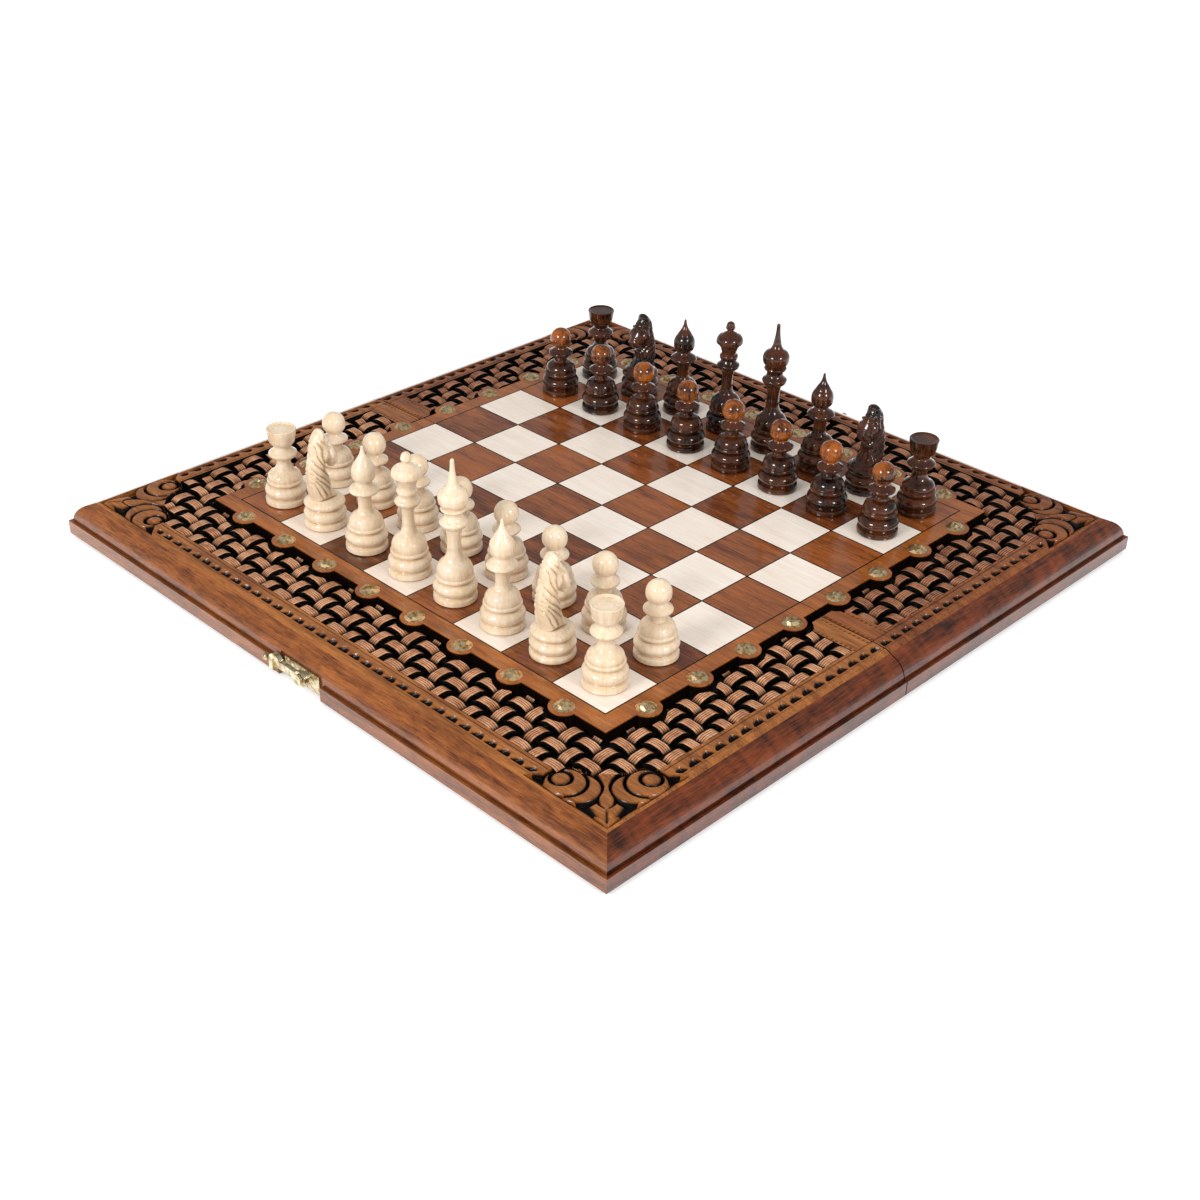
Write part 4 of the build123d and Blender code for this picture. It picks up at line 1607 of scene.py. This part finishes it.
def lathe(profile: Sequence[Pair], around: int = 56) -> tuple[Array, Faces]:
    """Turn a profile of radii and heights into a closed solid with flat ends.

    Args:
        profile: Radius and height of each ring, from the bottom up.
        around: Points in each ring.

    Returns:
        Points and faces.
    """
    angles = 2 * math.pi * np.arange(around) / around
    rings = [np.stack([r * np.cos(angles), r * np.sin(angles), 0 * angles + h], axis=1) for r, h in profile]
    return np.concatenate(rings), ribbon_faces(len(profile), around, 0)


@dataclass
class CarvedKnight:
    """Horse's head and neck carved over a turned foot: long locks of mane, cheek, eye, nostril and mouth."""

    side: Side
    node: str
    foot: tuple[Triple, ...] = (
        (12.6, 0.0, 0.0), (13.7, 0.9, 0.1), (13.7, 3.4, 0.1), (13.0, 4.2, 0.2), (11.7, 4.9, -0.2),
        (12.0, 5.5, 0.0), (11.8, 12.4, 1.9), (10.8, 13.2, -0.1), (11.3, 13.8, 0.0), (12.5, 14.5, 0.1),
        (11.9, 18.4, 1.1), (9.4, 20.4, -0.4),
    )
    outline: tuple[Triple, ...] = (
        (9.4, 19.0, 0.0), (3.4, 35.0, -2.0), (1.4, 44.2, -1.4), (4.6, 39.8, -0.5), (9.0, 41.0, 0.3),
        (10.9, 46.4, 1.0), (4.6, 59.6, 0.8), (2.0, 65.6, -0.6), (-0.4, 67.4, 0.2), (-3.2, 66.4, 0.4),
        (-8.8, 52.0, 1.8), (-9.0, 19.0, 2.6),
    )
    neck_half: float = 8.6
    poll_half: float = 5.4
    neck_start: float = 20.0
    neck_length: float = 47.0
    taper: float = 1.3
    roundness: float = 6.6
    dark_scale: float = 0.885
    rim: float = 0.4
    least_rim: float = 0.6
    slope_step: float = 0.01
    step: float = 0.55
    edge_share: float = 0.55
    lock_pitch: float = 6.0
    lock_slant: float = 1.75
    lock_depth: float = 1.9
    lock_sharpness: float = 1.6
    hair_depth: float = 0.35
    bends: tuple[Quad, ...] = ((1.6, 0.16, 0.0, 0.8), (0.7, 0.43, 0.3, 0.0))
    ripples: tuple[Quad, ...] = ((0.22, 0.31, 0.0, 0.0), (0.12, 0.2, 0.9, 0.0))
    mane_back: Triple = (9.2, 0.004, 42.0)
    mane_width: Pair = (-12.5, -9.0)
    mane_span: tuple[Pair, ...] = ((20.5, 25.0), (-65.0, -58.0))
    mane_edge: Triple = (11.5, 1.1, 1.3)
    cut_span: tuple[Pair, ...] = ((22.0, 28.0), (-66.0, -56.0))
    cheek: Quad = (3.4, 50.5, 4.6, 1.1)
    eye: Quad = (3.6, 56.6, 1.3, 0.8)
    eyelid: Triple = (1.35, 0.4, 0.9)
    nostril: Quad = (9.0, 44.6, 0.9, 1.2)
    mouth: Quad = (9.0, 42.6, 0.16, 1.0)
    jaw: Quad = (3.2, 49.0, 6.2, 0.9)
    lip_half: float = 0.5
    lip_run: Pair = (4.6, 6.2)
    jaw_half: float = 0.8
    jaw_run: Pair = (-1.0, 1.5)
    jaw_top: Pair = (-54.0, -50.0)
    ear: Triple = (0.9, 0.7, 1.2)
    ear_start: Pair = (57.5, 62.0)
    carved_from: float = 0.8

    def sway(self, forward: Array, height: Array) -> Array:
        """Locks of the mane as turns of their pattern, bent so that no two run alike.

        Args:
            forward: Places along the way the horse looks.
            height: Heights over the foot's underside.

        Returns:
            Turns of the pattern.
        """
        bend, ripple = (
            sum(swing * np.sin(height * up + forward * ahead + start) for swing, up, ahead, start in waves)
            for waves in (self.bends, self.ripples)
        )
        return (self.lock_slant * (forward + bend) + height) / self.lock_pitch + ripple

    def mane(self, forward: Array, height: Array) -> Array:
        """Carving of the mane: deep valleys between the locks, fine hair on them, a cut along its edge.

        Args:
            forward: Places along the way the horse looks.
            height: Heights over the foot's underside.

        Returns:
            Heights over the smooth neck, negative in the cuts.
        """
        offset, curve, middle = self.mane_back
        back = forward + offset + curve * (height - middle) ** 2
        mane = smoothstep(-back, *self.mane_width)
        for low, high in self.mane_span:
            mane = mane * smoothstep(height if low > 0 else -height, low, high)
        wave = math.pi * self.sway(forward, height)
        valley = (1 - np.abs(np.sin(wave))) ** self.lock_sharpness
        hair = self.hair_depth * (1 - np.abs(np.sin(wave * 3))) ** 2
        line, half, depth = self.mane_edge
        cut = depth * np.exp(-(((back - line) / half) ** 2))
        for low, high in self.cut_span:
            cut = cut * smoothstep(height if low > 0 else -height, low, high)
        return -self.lock_depth * mane * (valley + hair) - cut

    def face(self, forward: Array, height: Array) -> Array:
        """Carving of the face: cheek, eye with its lid, nostril, mouth, jaw and ears.

        Args:
            forward: Places along the way the horse looks.
            height: Heights over the foot's underside.

        Returns:
            Heights over the smooth head, negative in the cuts.
        """
        x0, y0, radius, swell = self.cheek
        carved = swell * np.clip(1 - (np.hypot(forward - x0, height - y0) / radius) ** 2, 0, 1)
        x0, y0, radius, swell = self.eye
        ring = np.hypot(forward - x0, height - y0) / radius
        line, half, depth = self.eyelid
        carved += swell * np.clip(1 - ring**2, 0, 1) - depth * np.exp(-(((ring - line) / half) ** 2))
        x0, y0, radius, depth = self.nostril
        carved -= depth * np.exp(-((np.hypot(forward - x0, height - y0) / radius) ** 2))
        x0, y0, slant, depth = self.mouth
        lips = np.abs(height - y0 - slant * (forward - x0))
        carved -= depth * np.exp(-((lips / self.lip_half) ** 2)) * smoothstep(forward, *self.lip_run)
        x0, y0, radius, depth = self.jaw
        bone = np.exp(-(((np.hypot(forward - x0, height - y0) - radius) / self.jaw_half) ** 2))
        carved -= depth * bone * smoothstep(forward, *self.jaw_run) * smoothstep(-height, *self.jaw_top)
        line, half, depth = self.ear
        ears = depth * np.exp(-(((forward - line) / half) ** 2)) * smoothstep(height, *self.ear_start)
        return carved - ears

    def thickness(self, forward: Array, height: Array, away: Array) -> Array:
        """Half the thickness of the head and neck with their carving.

        Args:
            forward: Places along the way the horse looks.
            height: Heights over the foot's underside.
            away: Signed distance to the side outline, negative inside.

        Returns:
            Half thicknesses.
        """
        share = np.clip((height - self.neck_start) / self.neck_length, 0, 1)
        half = self.neck_half + (self.poll_half - self.neck_half) * share**self.taper
        inward = np.clip(-away / self.roundness, 0, 1)
        shell = self.rim + (half - self.rim) * np.sqrt(1 - (1 - inward) ** 2)
        carved = self.mane(forward, height) + self.face(forward, height)
        carved *= smoothstep(-away, 0.0, self.carved_from)
        return np.maximum(shell + carved, self.rim * self.least_rim)

    def head(self) -> tuple[Array, Faces]:
        """Head and neck as a solid with its outline in the plane x = 0.

        Returns:
            Points as x, y along the look and z, and faces.
        """
        outline = swelling_points(self.outline)
        low, high = np.min(outline, axis=0) - self.step, np.max(outline, axis=0) + self.step
        forward, height = np.meshgrid(
            np.arange(low[0], high[0], self.step), np.arange(low[1], high[1], self.step), indexing="ij"
        )
        edge = self.edge_share * self.step

        def to_outline(x: Array, y: Array) -> Array:
            """Signed distance to the side outline."""
            return polygon_distance(x, y, outline)

        away, forward, height = drawn_to_edge(to_outline, forward, height, edge, self.slope_step)
        half = self.thickness(forward, height, to_outline(forward, height))
        points, faces, _ = carved_solid(forward, height, half, away < edge, -half)
        return points[:, [2, 0, 1]], faces

    def build(self) -> bpy.types.Object:
        """Make the knight on its square.

        Returns:
            The carved man.
        """
        low, high = box_mm(self.node)
        middle = np.array([(low.x + high.x) / 2, (low.y + high.y) / 2, low.z])
        head, faces = self.head()
        if self.side is Side.DARK:
            start = self.foot[-1][1]
            head[:, 2] = start + (head[:, 2] - start) * self.dark_scale
        foot, foot_faces = lathe([*swelling_points(self.foot), (self.foot[-1][0] / 2, self.foot[-1][1])])
        faces += [[index + len(head) for index in face] for face in foot_faces]
        points = turned_points(np.concatenate([head, foot]), self.side) + middle
        return make_piece(
            f"{self.node}_carved", points, faces, Men.finish(self.side), self.node, Men.slot(self.side),
            [self.node], sharp=60,
        )


def rounded_top(radius: float, height: float, top: float, count: int = 9) -> list[Pair]:
    """Quarter oval that closes a turned form.

    Args:
        radius: Radius where it starts.
        height: Height where it starts.
        top: Height of its tip.
        count: Points on it.

    Returns:
        Radii and heights, the last one close to the axis.
    """
    angles = [math.pi / 2 * k / count for k in range(1, count + 1)]
    return [(radius * max(math.cos(a), 0.02), height + (top - height) * math.sin(a)) for a in angles]


@dataclass
class TurnedMan:
    """One turned man: a flat foot, a round bead, a bell with a lip, a neck, a saucer collar and a head."""

    side: Side
    node: str
    kind: str
    foot: tuple[Triple, ...] = (
        (12.3, 0.0, 0.0), (13.4, 0.9, 0.1), (13.4, 3.4, 0.0), (12.7, 4.2, 0.2), (11.2, 4.9, -0.2),
        (11.6, 5.5, 0.0), (11.2, 13.0, 2.1), (9.9, 13.8, -0.1), (10.2, 14.4, 0.0), (11.6, 15.0, 0.1),
        (11.6, 16.7, 0.2), (10.9, 17.2, 0.0),
    )
    ball_start: float = 35.0
    spacing: float = 0.5
    around: int = 64

    def body(self) -> list[Triple]:
        """Steps of radius, height and bulge above the foot, by the kind of man.

        Returns:
            The steps, from the bottom up.
        """
        bodies = {
            "king": [
                (7.0, 27.0, 1.7), (4.5, 36.0, -0.9), (5.2, 48.2, -0.6), (6.6, 49.2, 0.0), (8.0, 50.8, 0.2),
                (8.2, 53.4, 0.5), (6.2, 55.4, -0.2), (5.6, 57.8, -0.2), (6.2, 59.4, 0.0), (7.5, 60.4, 0.1),
                (7.5, 61.8, 0.3), (6.2, 62.5, 0.0), (6.4, 63.1, 0.0), (9.1, 67.5, 0.8), (6.8, 73.6, 1.0),
                (5.0, 74.6, 0.0), (2.6, 80.5, -0.5), (1.3, 91.8, -0.3),
            ],
            "queen": [
                (5.6, 27.8, 1.9), (3.9, 35.5, -0.6), (4.5, 46.0, -0.5), (6.0, 46.9, 0.0), (7.5, 48.4, 0.2),
                (7.7, 50.6, 0.4), (5.8, 52.4, -0.2), (5.2, 54.0, 0.0), (6.4, 55.8, 0.3), (6.2, 57.6, 0.2),
                (5.2, 58.4, 0.0), (5.6, 61.0, -0.2), (9.1, 66.4, -0.6), (9.4, 67.8, 0.2), (7.4, 72.0, 0.6),
                (4.4, 73.8, -0.2), (1.8, 75.8, -0.2), (3.0, 79.2, 0.9),
            ],
            "bishop": [
                (5.8, 25.2, 1.6), (4.3, 30.7, -0.6), (4.7, 37.6, -0.3), (6.0, 38.4, 0.0), (9.0, 40.0, -0.1),
                (9.4, 41.6, 0.3), (6.6, 44.0, 0.2), (5.0, 45.8, -0.2), (4.7, 46.8, 0.0), (7.5, 52.4, 1.0),
                (5.6, 59.0, 0.7), (3.0, 63.2, 0.1), (0.9, 69.6, -0.4),
            ],
            "rook": [
                (8.2, 22.4, 1.0), (5.0, 27.0, -0.6), (5.3, 31.6, -0.4), (6.8, 32.4, 0.0), (8.8, 34.0, 0.2),
                (9.0, 36.0, 0.4), (6.4, 38.2, -0.1), (5.4, 40.0, -0.3), (5.6, 41.0, 0.0), (8.7, 46.2, 0.9),
                (9.4, 50.0, 0.1), (9.7, 52.6, 0.0), (9.2, 53.0, 0.1), (8.5, 52.7, 0.0), (7.2, 52.1, -0.1),
            ],
            "pawn": [
                (4.9, 24.2, 2.0), (4.8, 28.2, -0.3), (6.2, 28.9, 0.0), (8.3, 30.2, 0.1), (8.5, 32.2, 0.4),
                (6.2, 33.8, -0.1), (4.8, 35.2, -0.1), (4.6, 36.2, 0.0), (7.6, 42.6, 1.1),
            ],
        }
        return bodies[self.kind]

    def build(self) -> bpy.types.Object:
        """Make the man on its square.

        Returns:
            The turned man.
        """
        low, high = box_mm(self.node)
        steps = [*self.foot, *self.body()]
        profile = swelling_points(steps, self.spacing)
        radius, start, _ = steps[-1]
        top = high.z - low.z if self.kind != "rook" else start
        points, faces = lathe(profile + rounded_top(radius, start, top), self.around)
        middle = np.array([(low.x + high.x) / 2, (low.y + high.y) / 2, low.z])
        # Painted highlight: the dark pawns' heads take the lighter amber finish.
        lit_head = self.kind == "pawn" and self.side is Side.DARK
        seconds = [lit_head and points[face[0], 2] > self.ball_start for face in faces]
        return make_piece(
            f"{self.node}_turned", points + middle, faces, Men.finish(self.side), self.node,
            Men.slot(self.side), [self.node], sharp=38, second=Men.amber(), seconds=seconds,
        )


@dataclass
class Men:
    """The men of one side: the turned ones and the two carved knights."""

    side: Side

    @staticmethod
    def finish(side: Side) -> Material:
        """Finish of a side's men: creamy boxwood, or hardwood stained nearly black, both high gloss.

        Args:
            side: The side.

        Returns:
            The material.
        """
        if side is Side.WHITE:
            # Boxwood with painted shade in the creases of the turnings.
            return PALETTE.finish(LacqueredWood(
                "boxwood", "#eedbc2", "#dcc09a", "#c6a073", Grain.ALONG_Z, figure_mm=10.0, streak_mm=1.8,
                pore_amount=0.12, gloss_roughness=0.035, crease_mm=1.6, crease_amount=0.55,
            ))
        return PALETTE.finish(LacqueredWood(
            "stained_wood", "#522609", "#0a0302", "#040201", Grain.ALONG_Z, figure_mm=9.0, streak_mm=1.5,
            pore_amount=0.6, gloss_roughness=0.03, curl_mm=8.0, curl_amount=0.12,
        ))

    @staticmethod
    def amber() -> Material:
        """Finish of the dark pawns' heads: amber brown, a painted highlight of the light that falls on them.

        Returns:
            The material.
        """
        return PALETTE.finish(LacqueredWood(
            "amber_painted_highlight", "#a35510", "#2c1004", "#120602", Grain.ALONG_Z, figure_mm=6.0, streak_mm=1.4,
            pore_amount=0.5, gloss_roughness=0.03, curl_mm=6.0, curl_amount=0.14,
        ))

    @staticmethod
    def slot(side: Side) -> str:
        """Record slot of a side's men."""
        return "boxwood" if side is Side.WHITE else "stained_wood"

    def build(self) -> list[bpy.types.Object]:
        """Make the sixteen men.

        Returns:
            The new pieces.
        """
        names = [n for n in sorted(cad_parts) if n.startswith(self.side.word) and "_half_" not in n]
        kinds = {node: node.split("_")[1] for node in names}
        men = [
            CarvedKnight(self.side, node) if kind == "knight" else TurnedMan(self.side, node, kind)
            for node, kind in kinds.items()
        ]
        return [man.build() for man in men]


@dataclass
class Case:
    """The case: rails, boards, squares, hinges and latch, which keep their shape from the frame."""

    eased: float = 0.4
    fine: float = 0.12

    def veneers(self) -> tuple[LacqueredWood, LacqueredWood]:
        """Finishes of the light and the dark squares, each square cut from another part of the sheet.

        Returns:
            The light finish and the dark one.
        """
        light = LacqueredWood(
            "maple_veneer", "#f5eade", "#ead9c8", "#d3bba0", Grain.ALONG_X, pore_amount=0.2,
            tile_mm=SIZES.square, tile_contrast=0.05,
        )
        dark = LacqueredWood(
            "walnut_veneer", "#9c5626", "#53240d", "#2c1106", Grain.ALONG_X, streak_mm=1.1, pore_amount=0.45,
            tile_mm=SIZES.square, tile_contrast=0.1,
        )
        return light, dark

    def field_wood(self) -> LacqueredWood:
        """Finish of the scalloped board, stained black on its upright sides and between the squares.

        Returns:
            The finish.
        """
        return LacqueredWood(
            "strip_walnut", "#ac6226", "#713a12", "#452008", Grain.ALONG_X, streak_mm=1.0, pore_amount=0.45,
            stain_below_mm=SIZES.top - 0.5, stain_fade_mm=0.25, lined_half_mm=SIZES.field_half + 0.45,
        )

    def dress_half(self, side: Side) -> None:
        """Finish one half.

        Args:
            side: The half.
        """
        light, dark = self.veneers()
        # Lit and shaded copies of the rail wood: the white half's outer rail gets the lighter one, the
        # others the darker one as painted shade.
        outer = PALETTE.golden if side is Side.WHITE else PALETTE.figured
        dress(side.node("outer_rail"), outer(Grain.ALONG_X), self.eased)
        dress(side.node("side_rails"), PALETTE.figured(Grain.ALONG_Y), self.eased)
        dress(side.node("seam_rail"), PALETTE.figured(Grain.ALONG_X), self.eased)
        dress(side.node("field_board"), PALETTE.finish(self.field_wood()), self.fine * 2)
        dress(side.node("base_board"), PALETTE.finish(TrayBoard("tray_board")))
        dress(side.node("points"), PALETTE.finish(PointInlay("point_inlay")))
        dress(side.node("light_squares"), PALETTE.finish(light), self.fine)
        dress(side.node("dark_squares"), PALETTE.finish(dark), self.fine)
        dress(side.node("felt_pads"), PALETTE.finish(WoolFelt("green_felt")), self.eased)
        dress(side.node("hinge_leaves"), self.brass(), self.fine)

    def brass(self) -> Material:
        """Finish of the hinges and the latch."""
        return PALETTE.finish(PolishedBrass("polished_brass", "#f0e4c4", "#a8946a", mark_mm=3.0))

    def build(self) -> None:
        """Finish both halves, the hinge pins and the latch."""
        for side in Side:
            self.dress_half(side)
        for node in ("hinge_pins", "latch_pivot_plate", "latch_catch_plate", "latch_hook"):
            dress(node, self.brass(), self.eased)


def main() -> None:
    """Build the sub-assemblies in order and report each piece."""
    logging.basicConfig(level=logging.INFO, format="%(name)s: %(message)s")
    Case().build()
    LOG.info("case dressed")
    for side in Side:
        pieces = [CarvedBand(side).build(), BasketWeave(side).build(), HammeredStuds(side).build()]
        for piece in pieces + Men(side).build():
            LOG.info("%s: %d faces", piece.name, len(piece.data.polygons))
    Studio().build()


def dress(node: str, material: Material, bevel_mm: float = 0.0, sharp: float = 35.0) -> None:
    """Give a node of the frame its finish.

    Args:
        node: Name of the node.
        material: Its finish.
        bevel_mm: Width of the eased edges, or 0 for none.
        sharp: Smallest turn in degrees that stays a sharp edge.
    """
    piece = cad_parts[node]
    piece.data.materials.clear()
    piece.data.materials.append(material)
    smooth_by_angle(piece.data, sharp)
    if bevel_mm:
        bevel = piece.modifiers.new("eased_edges", "BEVEL")
        bevel.width = bevel_mm * MM
        bevel.segments = 2
        bevel.limit_method = "ANGLE"
        bevel.angle_limit = math.radians(BEVEL_FROM_DEGREES)


@dataclass
class Studio:
    """White sweep, soft lamps and the camera at the photograph's viewing angle."""

    azimuth: float = 43.8347
    elevation: float = 31.6941
    roll: float = 1.4519
    distance: float = 1042.9
    aim: Triple = (83.03, -86.0, 29.6)
    lens: float = 51.904
    floor_size: float = 8.0
    lamp_distance: float = 2.0
    ambient: float = 0.78
    ceiling: float = 0.3
    horizon: float = 0.6
    ceiling_start: float = 0.4
    sensor: float = 36.0
    far_clip: float = 20.0
    softboxes: tuple[tuple[str, Triple, float, float], ...] = (
        ("left_softbox", (0.03, -0.914, 0.5), 0.5, 20.0),
        ("right_softbox", (0.911, -0.068, 0.5), 0.42, 13.0),
    )

    def camera(self) -> None:
        """Place the camera from its angles round the point that it looks at."""
        a, e, r = (math.radians(v) for v in (self.azimuth, self.elevation, self.roll))
        back = Vector((math.sin(a) * math.cos(e), -math.cos(a) * math.cos(e), math.sin(e)))
        right = Vector((math.cos(a), math.sin(a), 0))
        up = back.cross(right)
        turned_right = right * math.cos(r) + up * math.sin(r)
        turned_up = up * math.cos(r) - right * math.sin(r)
        data = bpy.data.cameras.new("camera")
        data.lens = self.lens
        data.sensor_width = self.sensor
        data.clip_end = self.far_clip
        camera = bpy.data.objects.new("camera", data)
        rotation = Matrix((turned_right, turned_up, back)).transposed().to_4x4()
        camera.matrix_world = Matrix.Translation((Vector(self.aim) + back * self.distance) * MM) @ rotation
        bpy.context.scene.collection.objects.link(camera)
        bpy.context.scene.camera = camera

    def softbox(self, name: str, direction: Sequence[float], size: float, power: float) -> None:
        """Add a square area lamp that faces the board.

        Args:
            name: Name of the lamp.
            direction: Way from the board to the lamp.
            size: Side in metres.
            power: Power in watts.
        """
        data = bpy.data.lights.new(name, "AREA")
        data.shape = "SQUARE"
        data.size = size
        data.energy = power
        lamp = bpy.data.objects.new(name, data)
        lamp.location = Vector(direction).normalized() * self.lamp_distance
        lamp.rotation_euler = (-Vector(direction)).to_track_quat("-Z", "Y").to_euler()
        bpy.context.scene.collection.objects.link(lamp)

    def world(self) -> None:
        """White surroundings that light evenly, with a dimmer ceiling in what gloss reflects."""
        world = bpy.data.worlds.new("studio")
        world.use_nodes = True
        bpy.context.scene.world = world
        tree = world.node_tree
        path = add(tree, "LightPath").outputs
        place = add(tree, "TexCoord").outputs["Generated"]
        upward = add(tree, "SeparateXYZ", {"Vector": place}).outputs["Z"]
        sky = {"From Max": self.ceiling_start, "To Min": self.horizon, "To Max": self.ceiling}
        mirrored = add(tree, "MapRange", {"Value": upward, "From Min": 0.0, **sky}).outputs[0]
        lit = {0: path["Is Glossy Ray"], 2: self.ambient, 3: mirrored}
        glossy = add(tree, "Mix", lit, data_type="FLOAT").outputs[0]
        seen = {0: path["Is Camera Ray"], 2: glossy, 3: 1.0}
        power = add(tree, "Mix", seen, data_type="FLOAT").outputs[0]
        fill(tree.nodes["Background"], {"Color": (1, 1, 1, 1), "Strength": power})

    def floor(self) -> None:
        """Lay the sweep that the board stands on."""
        half = self.floor_size / 2
        mesh = bpy.data.meshes.new("sweep")
        corners = [(-half, -half, 0), (half, -half, 0), (half, half, 0), (-half, half, 0)]
        mesh.from_pydata(corners, [], [(0, 1, 2, 3)])
        mesh.materials.append(PALETTE.finish(StudioWhite("studio_white")))
        sweep = bpy.data.objects.new("sweep", mesh)
        bpy.context.scene.collection.objects.link(sweep)

    def build(self) -> None:
        """Set up the camera, the lamps, the surroundings and the floor."""
        scene = bpy.context.scene
        scene.view_settings.view_transform = "Standard"
        self.camera()
        self.world()
        self.floor()
        for softbox in self.softboxes:
            self.softbox(*softbox)


if __name__ == "__main__":
    main()
